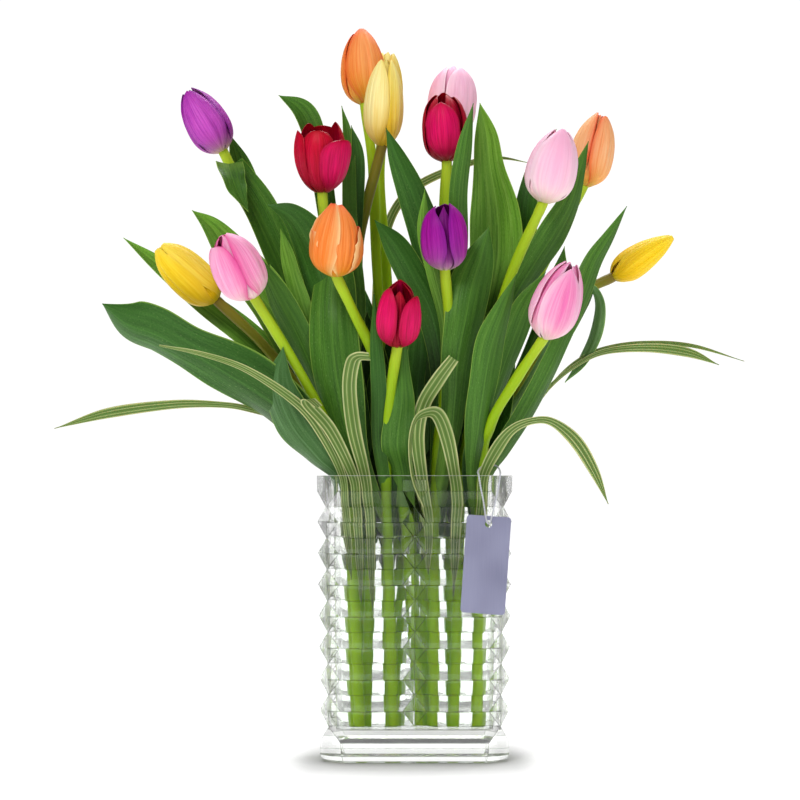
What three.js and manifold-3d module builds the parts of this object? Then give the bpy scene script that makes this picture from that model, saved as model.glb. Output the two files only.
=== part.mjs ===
// Sixteen cut tulips and ten striped grass blades in a rectangular pressed-glass vase.
// Millimetres, +Z up, origin on the ground under the middle of the vase, front towards -Y.

import * as THREE from 'three';
import { mergeVertices } from 'three/addons/utils/BufferGeometryUtils.js';
import Module from 'manifold-3d';

const wasm = await Module();
wasm.setup();

// Driving dimensions of the vase
const VASE_HEIGHT = 200;
const HALF_WIDTH = 62;
const HALF_DEPTH = 34;
const TAPER = 0.96;
const RELIEF = 6.5;
const HIP = 8.4;
const PITCH = 21.9;
const FIRST_VALLEY = 25.2;
const PRISM_ROWS = 7;
const RIM_BAND = 189;
const FOOT_BAND = 14;
const FOOT_ROUND = 5;
const WALL = 5;
const FLOOR = 22;
const INNER_CORNER = 6;
const WATER_LEVEL = 157;
const OVER_RIM = 5;
const AROUND_VASE = [400, 300, VASE_HEIGHT + 0.3];

// Driving dimensions of the bunch
const GAP = 0.3;
const STEM_RADIUS = 3.7;
const STEM_SIDES = 6;
const STEM_STEPS = 7;
const LEAF_THICK = 0.9;
const GRASS_THICK = 0.8;
const TIP_HALF = 0.5;
const CUP = 0.32;
const FACE_REACH = 150;
const WIDE_HALF = 12;
const LEAF_STEPS = 8;
const TIP_EASE = 1.35;
const MOUTH_DEPTH = 26;
const FAN = 0.3;

// Colours
const COLOURS = {
  purple: 0xa02bb4,
  orange: 0xf7853c,
  yellow: 0xf5cf14,
  yellow_pale: 0xf7d94a,
  pink: 0xee86bb,
  pink_pale: 0xf3b9d2,
  red: 0xd4073c,
  leaf: 0x3f7a35,
  grass: 0xa9bd88,
};

// The bunch fans out above the mouth: a place is x, z and a share q of the half depth at that height.
function depthAt(z) {
  return MOUTH_DEPTH + FAN * Math.max(0, z - VASE_HEIGHT);
}

function place([x, z, q]) {
  return new THREE.Vector3(x, q * depthAt(z), z);
}

// Tulips from left to right. foot: x, y on the vase floor. stem: places above it, the last under the bloom.
// A leaf leaves its stem at height `from`, follows its path and has a half width at each place of it.
const TULIPS = [
  {
    name: 'pink_left', colour: 'pink', foot: [-38, -16],
    stem: [[-46, 196, -0.62], [-60, 232, -0.75], [-80, 272, -0.85], [-111, 323, -0.95]],
    tip: [-132, 364, -1], radius: 16.5,
    leaves: [
      {
        from: 160,
        path: [[-50, 198, -0.8], [-63, 213, -0.92], [-87, 243, -0.95], [-120, 264, -0.9],
          [-152, 285, -0.8], [-179, 301, -0.75], [-201, 308, -0.68], [-218, 321, -0.6]],
        half: [5.5, 12, 22.5, 23, 20, 19.5, 15, 0],
      },
      {
        from: 162,
        path: [[-52, 196, -0.9], [-66, 213, -1.05], [-81, 233, -1.1], [-91, 261, -1.05], [-86, 289, -0.98]],
        half: [5, 10, 12, 10.5, 0],
      },
      {
        from: 190,
        path: [[-60, 242, -0.55], [-79, 292, -0.55], [-95, 323, -0.55], [-110, 355, -0.55]],
        half: [6.5, 10, 10, 0],
      },
    ],
  },
  {
    name: 'yellow_left', colour: 'yellow', foot: [-41, -6],
    stem: [[-48, 196, -0.02], [-67, 239, -0.08], [-104, 289, -0.15], [-140, 324, -0.22]],
    tip: [-180, 361, -0.3], radius: 14.5,
    leaves: [
      {
        from: 165,
        path: [[-47, 198, 0.13], [-60, 225, 0.12], [-91, 270, 0.08], [-121, 300, 0.07],
          [-150, 323, 0.08], [-183, 350, 0.08], [-208, 370, 0.06]],
        half: [5, 7, 10, 11.5, 10, 6.5, 0],
      },
      {
        from: 170,
        path: [[-40, 207, 0.26], [-57, 240, 0.24], [-79, 277, 0.22], [-100, 315, 0.22],
          [-124, 347, 0.22], [-144, 376, 0.22], [-160, 391, 0.2]],
        half: [6, 10, 14.5, 17.5, 17.5, 9.5, 0],
      },
      {
        from: 185,
        path: [[-49, 225, -0.28], [-66, 267, -0.33], [-77, 306, -0.38], [-85, 334, -0.4],
          [-90, 355, -0.4], [-94, 373, -0.38]],
        half: [5.5, 7, 8, 7, 5.5, 0],
      },
    ],
  },
  {
    name: 'purple_left', colour: 'purple', foot: [-37, 16],
    stem: [[-41, 196, 0.6], [-65, 269, 0.5], [-101, 357, 0.42], [-139, 436, 0.35]],
    tip: [-165, 480, 0.28], radius: 15.5,
    leaves: [
      {
        from: 180,
        path: [[-41, 225, 0.48], [-55, 260, 0.48], [-77, 312, 0.43], [-96, 355, 0.37], [-113, 392, 0.3],
          [-127, 416, 0.27], [-138, 421, 0.18], [-131, 408, 0.1], [-119, 388, 0.08]],
        half: [6.5, 9.5, 12.5, 13.5, 13.5, 12.5, 12.5, 10.5, 0],
      },
      {
        from: 200,
        path: [[-58, 280, 0.68], [-84, 328, 0.68], [-112, 386, 0.62], [-128, 427, 0.6],
          [-136, 452, 0.55]],
        half: [6.5, 9.5, 9.5, 8.5, 0],
      },
    ],
  },
  {
    name: 'red_left', colour: 'red', foot: [-34, 4],
    stem: [[-31, 196, -0.06], [-46, 254, -0.12], [-60, 331, -0.25], [-65, 399, -0.3]],
    tip: [-65, 448, -0.32], radius: 19,
    leaves: [
      {
        from: 300,
        path: [[-57, 346, -0.05], [-66, 404, 0.08], [-70, 434, 0.08], [-80, 460, 0.04],
          [-97, 472, 0.02]],
        half: [6.5, 8, 8.5, 8.5, 0],
      },
      {
        from: 260,
        path: [[-40, 318, -0.1], [-46, 375, -0.02], [-47, 419, 0.03], [-48, 444, 0.05],
          [-52, 465, 0.06]],
        half: [5, 5.5, 5, 3.5, 0],
      },
      {
        from: 185,
        path: [[-38, 232, -0.3], [-46, 264, -0.33], [-56, 303, -0.35], [-65, 336, -0.38], [-75, 364, -0.4],
          [-87, 382, -0.38], [-103, 390, -0.35]],
        half: [7, 10.5, 14, 15.5, 15, 9, 0],
      },
    ],
  },
  {
    name: 'yellow_top', colour: 'yellow_pale', foot: [-17, 7],
    stem: [[-22, 196, 0.5], [-35, 269, 0.4], [-41, 349, 0.3], [-35, 391, 0.2], [-23, 436, 0.07]],
    tip: [-20, 499, 0.03], radius: 13.5,
    leaves: [
      {
        from: 300,
        path: [[-44, 340, 0.2], [-42, 398, 0.12], [-41, 429, 0.05], [-45, 450, 0]],
        half: [5, 5.5, 5, 0],
      },
      {
        from: 200,
        path: [[-33, 233, 0.62], [-47, 277, 0.66], [-60, 321, 0.68], [-69, 366, 0.68]],
        half: [6.5, 10, 10, 0],
      },
    ],
  },
  {
    name: 'orange_top', colour: 'orange', foot: [-13, 18],
    stem: [[-10, 196, 0.62], [-21, 269, 0.55], [-27, 350, 0.5], [-30, 423, 0.45], [-36, 472, 0.42]],
    tip: [-39, 527, 0.4], radius: 16,
    leaves: [
      {
        from: 185,
        path: [[-18, 226, 0.82], [-29, 277, 0.92], [-42, 322, 0.97], [-51, 364, 1]],
        half: [6, 11, 11.5, 0],
      },
    ],
  },
  {
    name: 'yellow_back', colour: 'yellow_pale', foot: [5, 19],
    stem: [[-2, 196, 0.74], [-13, 269, 0.75], [-21, 359, 0.75], [-25, 419, 0.74], [-24, 451, 0.73]],
    tip: [-19, 517, 0.7], radius: 13.5,
    leaves: [
      {
        from: 190,
        path: [[1, 233, 0.95], [7, 285, 1.05], [17, 330, 1.08], [29, 370, 1.05]],
        half: [6.5, 11, 11.5, 0],
      },
    ],
  },
  {
    name: 'red_mid', colour: 'red', foot: [-15, -17],
    stem: [[-20, 196, -0.72], [-19, 232, -0.95], [-16, 263, -1.05], [-12, 289, -1.1]],
    tip: [-10, 333, -1.12], radius: 14.5,
    leaves: [
      {
        from: 160,
        path: [[-36, 198, -0.85], [-46, 225, -0.95], [-54, 266, -0.9], [-58, 308, -0.7],
          [-57, 342, -0.42], [-52, 372, -0.3]],
        half: [8, 12, 18, 17, 14, 0],
      },
      {
        from: 185,
        path: [[-25, 225, -0.98], [-25, 259, -1.08], [-27, 294, -1.02], [-28, 325, -0.92]],
        half: [5, 5.5, 4, 0],
      },
    ],
  },
  {
    name: 'orange_mid', colour: 'orange', foot: [4, -15],
    stem: [[-9, 196, -0.5], [-14, 232, -0.6], [-27, 280, -0.82], [-43, 314, -1], [-54, 337, -0.98]],
    tip: [-54, 386, -0.95], radius: 17,
    leaves: [
      {
        from: 160,
        path: [[-8, 200, -0.8], [-12, 222, -1.1], [-9, 250, -1.12], [-9, 274, -1],
          [-7, 305, -0.85]],
        half: [8.5, 11.5, 9, 5.5, 0],
      },
    ],
  },
  {
    name: 'red_right', colour: 'red', foot: [7, -3],
    stem: [[7, 196, -0.04], [16, 268, -0.08], [23, 353, -0.1], [23, 423, -0.1]],
    tip: [20, 472, -0.1], radius: 16,
    leaves: [
      {
        from: 190,
        path: [[10, 232, -0.26], [16, 282, -0.28], [16, 324, -0.28], [11, 361, -0.27], [-1, 397, -0.26],
          [-12, 424, -0.25], [-20, 445, -0.22]],
        half: [5.5, 8, 10, 12, 10.5, 6.5, 0],
      },
      {
        from: 270,
        path: [[27, 310, -0.2], [31, 359, -0.28], [31, 397, -0.38], [35, 429, -0.42], [41, 460, -0.38]],
        half: [5.5, 7, 6.5, 5.5, 0],
      },
      {
        from: 170,
        path: [[0, 225, -0.25], [2, 260, -0.27], [5, 296, -0.28], [3, 331, -0.25]],
        half: [8, 9.5, 8.5, 0],
      },
    ],
  },
  {
    name: 'pink_top', colour: 'pink', foot: [13, 11],
    stem: [[11, 196, 0.6], [16, 269, 0.5], [20, 357, 0.42], [23, 415, 0.35], [26, 447, 0.3]],
    tip: [30, 497, 0.28], radius: 17,
    leaves: [
      {
        from: 200,
        path: [[19, 240, 0.72], [30, 292, 0.8], [43, 337, 0.85], [55, 378, 0.85]],
        half: [6.5, 11, 11.5, 0],
      },
    ],
  },
  {
    name: 'purple_mid', colour: 'purple', foot: [13, -12],
    stem: [[15, 196, -0.5], [21, 253, -0.55], [24, 302, -0.6], [21, 343, -0.68]],
    tip: [20, 388, -0.7], radius: 15.5,
    leaves: [
      {
        from: 185,
        path: [[17, 232, -0.42], [19, 274, -0.45], [12, 313, -0.46], [-1, 339, -0.45], [-14, 362, -0.42],
          [-28, 379, -0.4]],
        half: [5.5, 8, 10, 10.5, 8.5, 0],
      },
      {
        from: 250,
        path: [[22, 302, -0.48], [14, 341, -0.48], [7, 372, -0.45], [7, 400, -0.42]],
        half: [4, 5.5, 5, 0],
      },
      {
        from: 170,
        path: [[25, 225, -0.72], [28, 253, -0.76], [30, 281, -0.78], [35, 307, -0.72], [40, 333, -0.58],
          [47, 355, -0.45], [52, 374, -0.4]],
        half: [7, 9, 11.5, 14, 15, 10, 0],
      },
    ],
  },
  {
    name: 'pink_right_upper', colour: 'pink_pale', foot: [27, -4],
    stem: [[34, 196, -0.1], [47, 268, -0.25], [66, 336, -0.38], [90, 391, -0.45]],
    tip: [103, 441, -0.48], radius: 17.5,
    leaves: [
      {
        from: 240,
        path: [[52, 275, -0.08], [59, 300, -0.08], [70, 328, -0.1], [83, 350, -0.1], [97, 372, -0.1],
          [110, 394, -0.1], [117, 416, -0.08], [124, 438, -0.05]],
        half: [4.5, 6.5, 8, 8.5, 10, 6.5, 4.5, 0],
      },
      {
        from: 185,
        path: [[45, 225, -0.3], [56, 257, -0.38], [68, 292, -0.43], [78, 318, -0.45], [92, 343, -0.42]],
        half: [5.5, 8, 10, 9, 0],
      },
    ],
  },
  {
    name: 'orange_right', colour: 'orange', foot: [27, 12],
    stem: [[27, 196, 0.6], [55, 269, 0.5], [92, 349, 0.4], [123, 410, 0.35]],
    tip: [136, 463, 0.32], radius: 15.5,
    leaves: [
      {
        from: 200,
        path: [[36, 247, 0.3], [43, 283, 0.18], [53, 319, 0.12], [60, 353, 0.1], [60, 387, 0.08],
          [55, 419, 0.06], [52, 444, 0.05], [47, 467, 0.05]],
        half: [7, 14.5, 18, 19.5, 18.5, 12, 8.5, 0],
      },
      {
        from: 260,
        path: [[72, 323, 0.32], [80, 363, 0.3], [83, 400, 0.28], [92, 430, 0.27], [103, 451, 0.25]],
        half: [6.5, 9.5, 8.5, 6.5, 0],
      },
    ],
  },
  {
    name: 'yellow_right', colour: 'yellow', foot: [45, 8],
    stem: [[46, 196, 0.4], [69, 254, 0.3], [105, 312, 0.22], [125, 333, 0.18], [142, 342, 0.15]],
    tip: [185, 371, 0.12], radius: 11,
    leaves: [
      {
        from: 225,
        path: [[79, 257, 0.05], [104, 297, 0], [121, 325, -0.05], [130, 337, -0.08], [135, 323, -0.1],
          [131, 300, -0.12], [121, 282, -0.12], [108, 267, -0.12]],
        half: [5, 7, 7.5, 6.5, 8, 8, 6.5, 0],
      },
      {
        from: 215,
        path: [[80, 276, 0.42], [95, 313, 0.42], [105, 343, 0.4], [109, 366, 0.38]],
        half: [6.5, 7, 6.5, 0],
      },
    ],
  },
  {
    name: 'pink_right_lower', colour: 'pink', foot: [43, -13],
    stem: [[47, 196, -0.66], [53, 235, -0.85], [70, 266, -1.05], [89, 295, -1.15]],
    tip: [106, 345, -1.2], radius: 16.5,
    leaves: [
      {
        from: 160,
        path: [[41, 198, -0.8], [44, 232, -1], [48, 261, -1.02], [53, 290, -0.97], [61, 314, -0.92],
          [70, 339, -0.87]],
        half: [4, 8.5, 10.5, 11, 7, 0],
      },
      {
        from: 165,
        path: [[51, 198, -0.42], [62, 218, -0.48], [77, 242, -0.55], [92, 270, -0.6], [105, 298, -0.58],
          [117, 327, -0.5], [126, 350, -0.42], [137, 368, -0.38], [149, 389, -0.35]],
        half: [4.5, 7, 8, 8, 7, 8, 7, 4.5, 0],
      },
    ],
  },
];

// Striped grass blades: points x, y, z from inside the mouth outwards.
const GRASS = [
  {
    path: [[-47, -27.8, 165], [-48.7, -28, 182], [-50.6, -27.6, 200], [-63, -42, 227], [-80, -56, 249],
      [-114, -66, 272], [-145, -70, 283], [-175, -72, 289]],
    half: [2.4, 2.5, 2.6, 3.6, 3.4, 2.4, 1.7, 0.5],
  },
  {
    path: [[-39.5, -27.8, 165], [-40.8, -28, 182], [-43.2, -28.2, 200], [-58, -48, 231],
      [-73, -63, 249], [-72, -69, 252], [-66, -73, 247]],
    half: [3, 3.2, 3.5, 4.5, 4.5, 4.5, 4],
  },
  {
    path: [[-31, -27.8, 165], [-32.5, -28, 182], [-34.8, -28.2, 200], [-42, -46, 231], [-45, -62, 259],
      [-43, -70, 276], [-39, -75, 281], [-31, -77, 281]],
    half: [3, 3.5, 3.8, 5, 5, 5, 4.5, 4],
  },
  {
    path: [[-50, -8, 165], [-51.5, -8, 182], [-52.8, -8, 200], [-69, -10, 221], [-92, -13, 239],
      [-117, -16, 247], [-138, -18, 250], [-170, -20, 250], [-215, -22, 244], [-253, -24, 233]],
    half: [2, 2.5, 3, 3, 2.5, 2.2, 2.2, 3.2, 3.7, 0],
  },
  {
    path: [[29, -27.8, 165], [30, -28, 182], [28, -28.2, 200], [23, -40, 225], [16, -49, 242],
      [7, -56, 243], [0, -60, 237], [-3, -61, 221], [-1, -57, 198], [6, -52, 178]],
    half: [3.5, 4, 4, 5, 5, 5, 5, 5, 3.5, 0],
  },
  {
    path: [[10, -27.8, 165], [8, -28, 182], [5, -28.2, 200], [2, -37, 228], [6, -42, 249],
      [16, -46, 266], [27, -50, 281]],
    half: [3, 3.5, 4, 5, 5, 5, 4],
  },
  {
    path: [[45.5, -27.8, 165], [47, -28, 182], [48.4, -28, 200], [57.5, -38, 219], [68, -42, 232],
      [82, -43, 238], [96, -42, 237], [112, -40, 224], [125, -38, 203], [135, -36, 180]],
    half: [3, 3.4, 3.6, 4.4, 3.3, 2.5, 3, 4.6, 3.6, 0],
  },
  {
    path: [[50, -6, 165], [51, -6, 182], [53, -8, 200], [65, -10, 220], [80, -11, 243], [96, -13, 263],
      [113, -14, 277], [133, -16, 287], [162, -17, 290], [192, -17, 287], [215, -17, 278]],
    half: [1.6, 1.6, 1.6, 1.6, 1.5, 1.4, 1.4, 2, 3, 3.4, 0],
  },
  {
    path: [[51.5, 4, 165], [52.5, 4, 182], [54, 3, 200], [69, 1, 221], [83, -2, 245], [99, -5, 266],
      [115, -7, 281], [134, -8, 290], [162, -8, 294], [197, -8, 292], [234, -8, 281]],
    half: [1.5, 1.5, 1.3, 1.3, 1.2, 1.1, 1.1, 1.3, 1.5, 1.4, 0],
  },
  {
    path: [[-13, 27.8, 165], [-14, 28, 182], [-15, 28.2, 200], [-22, 48, 248], [-27, 68, 308],
      [-25, 86, 361], [-16, 96, 396], [1, 102, 417], [31, 105, 432], [62, 106, 440], [89, 106, 436]],
    half: [3, 3.5, 4, 4, 4, 4, 3.5, 3.5, 3, 1.5, 0],
  },
];

// Hang tag and its string
const TAG_WIDTH = 31;
const TAG_HEIGHT = 68;
const TAG_THICK = 0.9;
const TAG_CORNER = 2.5;
const TAG_HOLE = 2.5;
const TAG_HOLE_DROP = 5.5;
const TAG_TILT = 4;
const TAG_PLACE = [49.4, -40.5, 138];
const STRING_RADIUS = 0.6;
const STRING_SIDES = 8;
const STRING_STEPS = 38;
const STRING_PATH = [
  [52, -24.2, 207.4], [48.6, -25.6, 206.8], [45.4, -29.6, 204.8], [44.2, -34.6, 202.6],
  [44.1, -39.2, 201.6], [44.7, -41.6, 199.2], [45.8, -41.7, 192], [47.6, -42, 183],
  [48.9, -42.4, 174], [49.7, -42.3, 169.8], [50.4, -41.6, 167.4], [51.4, -41.2, 166.6],
  [52.4, -41.6, 167.4], [53.1, -42.3, 169.8], [54.2, -42.4, 174], [56.3, -42, 183],
  [58.2, -41.7, 192], [59.2, -41.6, 199.2], [59.6, -39.2, 201.6], [59.7, -34.6, 202.6],
  [59, -29.6, 204.8], [57, -25.6, 206.8], [54.4, -24.2, 207.4],
];

// A curve through its points: uniform Catmull-Rom, the ends mirrored. t runs from 0 to 1.
function along(points, t) {
  const last = points.length - 1;
  const i = Math.min(Math.floor(t * last), last - 1);
  const f = t * last - i;
  const b = points[i];
  const c = points[i + 1];
  const a = i > 0 ? points[i - 1] : b.map((v, k) => 2 * v - c[k]);
  const d = i + 2 <= last ? points[i + 2] : c.map((v, k) => 2 * v - b[k]);
  return b.map((v, k) => v + 0.5 * f * (c[k] - a[k]
    + f * (2 * a[k] - 5 * v + 4 * c[k] - d[k] + f * (3 * (v - c[k]) + d[k] - a[k]))));
}

// Even shares of a curve, or with `ease` over 1 closer together towards its end
function sharesOf(steps, ease = 1) {
  return Array.from({ length: steps + 1 }, (_, k) => 1 - (1 - k / steps) ** ease);
}

// Centres and frames along a curve at the given shares of it.
// The side vector starts level with `face` and turns as little as it can.
function frames(points, shares, face, endAxis) {
  const centres = shares.map((t) => new THREE.Vector3(...along(points, t)));
  const steps = shares.length - 1;
  let side = null;
  return centres.map((centre, k) => {
    const before = centres[Math.max(k - 1, 0)];
    const after = centres[Math.min(k + 1, steps)];
    let tangent = after.clone().sub(before).normalize();
    if (endAxis && k === steps) {
      tangent = endAxis;
    }
    side = side ? side.clone() : tangent.clone().cross(face);
    side.addScaledVector(tangent, -side.dot(tangent)).normalize();
    const normal = side.clone().cross(tangent);
    return { centre, tangent, side, normal };
  });
}

// A closed tube: rings of `sides` points around a row of frames.
function tube(rows, radii, sides) {
  const positions = [];
  const index = [];
  rows.forEach(({ centre, side, normal }, k) => {
    for (let j = 0; j < sides; j += 1) {
      const angle = (2 * Math.PI * j) / sides;
      const point = centre.clone().addScaledVector(side, radii[k] * Math.cos(angle));
      point.addScaledVector(normal, radii[k] * Math.sin(angle));
      positions.push(...point.toArray());
    }
  });
  for (let k = 0; k + 1 < rows.length; k += 1) {
    for (let j = 0; j < sides; j += 1) {
      const a = k * sides + j;
      const b = k * sides + ((j + 1) % sides);
      index.push(a, a + sides, b, b, a + sides, b + sides);
    }
  }
  const end = (rows.length - 1) * sides;
  for (let j = 1; j + 1 < sides; j += 1) {
    index.push(0, j, j + 1, end, end + j + 1, end + j);
  }
  return solid(positions, index);
}

// A thin closed sheet of the given thickness about a grid of points, split alike on both faces.
function slab(grid, thick) {
  const rows = grid.length;
  const cols = grid[0].length;
  const at = (i, j) => grid[Math.min(Math.max(i, 0), rows - 1)][Math.min(Math.max(j, 0), cols - 1)];
  const positions = [];
  for (const half of [thick / 2, -thick / 2]) {
    for (let i = 0; i < rows; i += 1) {
      for (let j = 0; j < cols; j += 1) {
        const up = at(i + 1, j).clone().sub(at(i - 1, j));
        const across = at(i, j + 1).clone().sub(at(i, j - 1));
        const normal = across.cross(up).normalize();
        positions.push(...at(i, j).clone().addScaledVector(normal, half).toArray());
      }
    }
  }
  const count = rows * cols;
  const index = [];
  const quad = (a, b, c, d) => index.push(a, b, c, a, c, d);
  for (let i = 0; i + 1 < rows; i += 1) {
    for (let j = 0; j + 1 < cols; j += 1) {
      const a = i * cols + j;
      quad(a, a + 1, a + cols + 1, a + cols);
      index.push(count + a, count + a + cols + 1, count + a + 1);
      index.push(count + a, count + a + cols, count + a + cols + 1);
    }
  }
  for (let j = 0; j + 1 < cols; j += 1) {
    const top = (rows - 1) * cols + j;
    quad(j, count + j, count + j + 1, j + 1);
    quad(top + 1, count + top + 1, count + top, top);
  }
  for (let i = 0; i + 1 < rows; i += 1) {
    const left = i * cols;
    const right = i * cols + cols - 1;
    quad(left + cols, count + left + cols, count + left, left);
    quad(right, count + right, count + right + cols, right + cols);
  }
  return solid(positions, index);
}

// A closed mesh as a solid that can be joined and cut
function solid(positions, index) {
  const flat = new THREE.BufferGeometry();
  flat.setAttribute('position', new THREE.Float32BufferAttribute(positions, 3));
  flat.setIndex(index);
  return solidOf(flat);
}

function solidOf(geometry) {
  geometry.deleteAttribute('normal');
  geometry.deleteAttribute('uv');
  const merged = mergeVertices(geometry, 1e-3);
  const triangles = [];
  const index = merged.index.array;
  for (let k = 0; k < index.length; k += 3) {
    const [a, b, c] = [index[k], index[k + 1], index[k + 2]];
    if (a !== b && b !== c && a !== c) {
      triangles.push(a, b, c);
    }
  }
  return new wasm.Manifold(new wasm.Mesh({
    numProp: 3,
    vertProperties: new Float32Array(merged.attributes.position.array),
    triVerts: new Uint32Array(triangles),
  }));
}

// A ring of the vase's outside at height z.
// relief: how far its faces stand out; notch: the same at mid front.
function vaseRing(z, relief, notch, shrink = 0) {
  const scale = TAPER + (1 - TAPER) * (z / VASE_HEIGHT);
  const w = HALF_WIDTH * scale - shrink;
  const d = HALF_DEPTH * scale - shrink;
  const hip = (HIP * relief) / RELIEF;
  const front = [[-w, 0], [-w + hip, relief], [-hip, relief], [0, notch], [hip, relief], [w - hip, relief]];
  const flank = [[-d, 0], [-d + hip, relief], [d - hip, relief]];
  const ring = [];
  front.forEach(([x, out]) => ring.push([x, -d - out]));
  flank.forEach(([y, out]) => ring.push([w + out, y]));
  front.forEach(([x, out]) => ring.push([-x, d + out]));
  flank.forEach(([y, out]) => ring.push([-w - out, -y]));
  return ring.map(([x, y]) => new THREE.Vector3(x, y, z));
}

// A closed body through rings of equally many points, the lowest first
function loft(rings) {
  const count = rings[0].length;
  const positions = rings.flatMap((ring) => ring.flatMap((point) => point.toArray()));
  const index = [];
  for (let k = 0; k + 1 < rings.length; k += 1) {
    for (let j = 0; j < count; j += 1) {
      const a = k * count + j;
      const b = k * count + ((j + 1) % count);
      index.push(a, b, a + count, b, b + count, a + count);
    }
  }
  const outline = rings[0].map((point) => new THREE.Vector2(point.x, point.y));
  const top = (rings.length - 1) * count;
  for (const [a, b, c] of THREE.ShapeUtils.triangulateShape(outline, [])) {
    index.push(a, c, b);
  }
  const lid = rings[rings.length - 1].map((point) => new THREE.Vector2(point.x, point.y));
  for (const [a, b, c] of THREE.ShapeUtils.triangulateShape(lid, [])) {
    index.push(top + a, top + b, top + c);
  }
  return solid(positions, index);
}

// The inside of the vase between two heights, drawn in by `shrink`
function cavity(low, high, shrink) {
  const ringAt = (z) => {
    const scale = TAPER + (1 - TAPER) * (z / VASE_HEIGHT);
    const w = (HALF_WIDTH - WALL) * scale - shrink;
    const d = (HALF_DEPTH - WALL) * scale - shrink;
    const ring = [];
    [[1, -1, -90], [1, 1, 0], [-1, 1, 90], [-1, -1, 180]].forEach(([sx, sy, start]) => {
      for (let k = 0; k <= 3; k += 1) {
        const angle = THREE.MathUtils.degToRad(start + 30 * k);
        ring.push(new THREE.Vector3(
          sx * (w - INNER_CORNER) + INNER_CORNER * Math.cos(angle),
          sy * (d - INNER_CORNER) + INNER_CORNER * Math.sin(angle),
          z,
        ));
      }
    });
    return ring;
  };
  return loft([ringAt(low), ringAt(high)]);
}

function vaseBody() {
  const rings = [
    vaseRing(0, RELIEF, RELIEF, FOOT_ROUND),
    vaseRing(FOOT_ROUND * 0.3, RELIEF, RELIEF, FOOT_ROUND * 0.3),
    vaseRing(FOOT_ROUND, RELIEF, RELIEF),
    vaseRing(FOOT_BAND, RELIEF, RELIEF),
    vaseRing(FIRST_VALLEY, 0, 0),
  ];
  for (let row = 0; row < PRISM_ROWS; row += 1) {
    const valley = FIRST_VALLEY + row * PITCH;
    rings.push(vaseRing(valley + PITCH / 2, RELIEF, 0), vaseRing(valley + PITCH, 0, 0));
  }
  rings.push(
    vaseRing(RIM_BAND, RELIEF, 0),
    vaseRing(VASE_HEIGHT - 3, RELIEF, RELIEF),
    vaseRing(VASE_HEIGHT, RELIEF, RELIEF),
  );
  return loft(rings);
}

// Share of the bloom's radius at each share of its height, from the stem to the tip
const BLOOM_PROFILE = [
  [0, 0.24], [0.05, 0.57], [0.14, 0.85], [0.3, 0.98], [0.5, 1], [0.7, 0.9], [0.87, 0.65], [1, 0.34],
];

function profileAt(t) {
  for (let k = 1; k < BLOOM_PROFILE.length; k += 1) {
    const [t0, r0] = BLOOM_PROFILE[k - 1];
    const [t1, r1] = BLOOM_PROFILE[k];
    if (t <= t1) {
      return r0 + ((r1 - r0) * (t - t0)) / (t1 - t0);
    }
  }
  return BLOOM_PROFILE[BLOOM_PROFILE.length - 1][1];
}

function bloomFrame(tulip) {
  const base = place(tulip.stem[tulip.stem.length - 1]);
  const tip = place(tulip.tip);
  const axis = tip.clone().sub(base);
  const height = axis.length();
  axis.normalize();
  const right = new THREE.Vector3(0, -1, 0).cross(axis).normalize();
  const out = right.clone().cross(axis);
  return { base, axis, right, out, height };
}

// The room that a bloom takes up: a plain turned body a little larger than its petals
const ROOM_SHARES = [0, 0.1, 0.35, 0.65, 0.88, 1];
const ROOM_SCALE = 1.05;
const ROOM_MARGIN = 0.8;

function bloomRoom(tulip) {
  const { base, axis, right, out, height } = bloomFrame(tulip);
  const rows = ROOM_SHARES.map((t) => ({
    centre: base.clone().addScaledVector(axis, GAP + t * (height - GAP)),
    side: right,
    normal: out,
  }));
  const radii = ROOM_SHARES.map((t) => tulip.radius * ROOM_SCALE * profileAt(t) + ROOM_MARGIN);
  return tube(rows, radii, 8);
}

// Columns of a petal: share of its half angle, and how high the petal reaches there
const OUTER_COLUMNS = [[-1, 0.8], [-0.55, 0.91], [0, 0.98], [0.55, 0.91], [1, 0.8]];
const INNER_COLUMNS = [[-1, 0.84], [0, 1], [1, 0.84]];
const BLOOM_ROWS = [0, 0.07, 0.22, 0.45, 0.7, 0.88, 1];
const OUTER_HALF_ANGLE = 50;
const LAYER_HALF_SUM = 58;
const NARROW_FROM = 0.55;
const NARROW_BY = 0.45;
const LAYER_STEP = 0.13;
const CROWN_DEPTH = 0.74;

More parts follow.
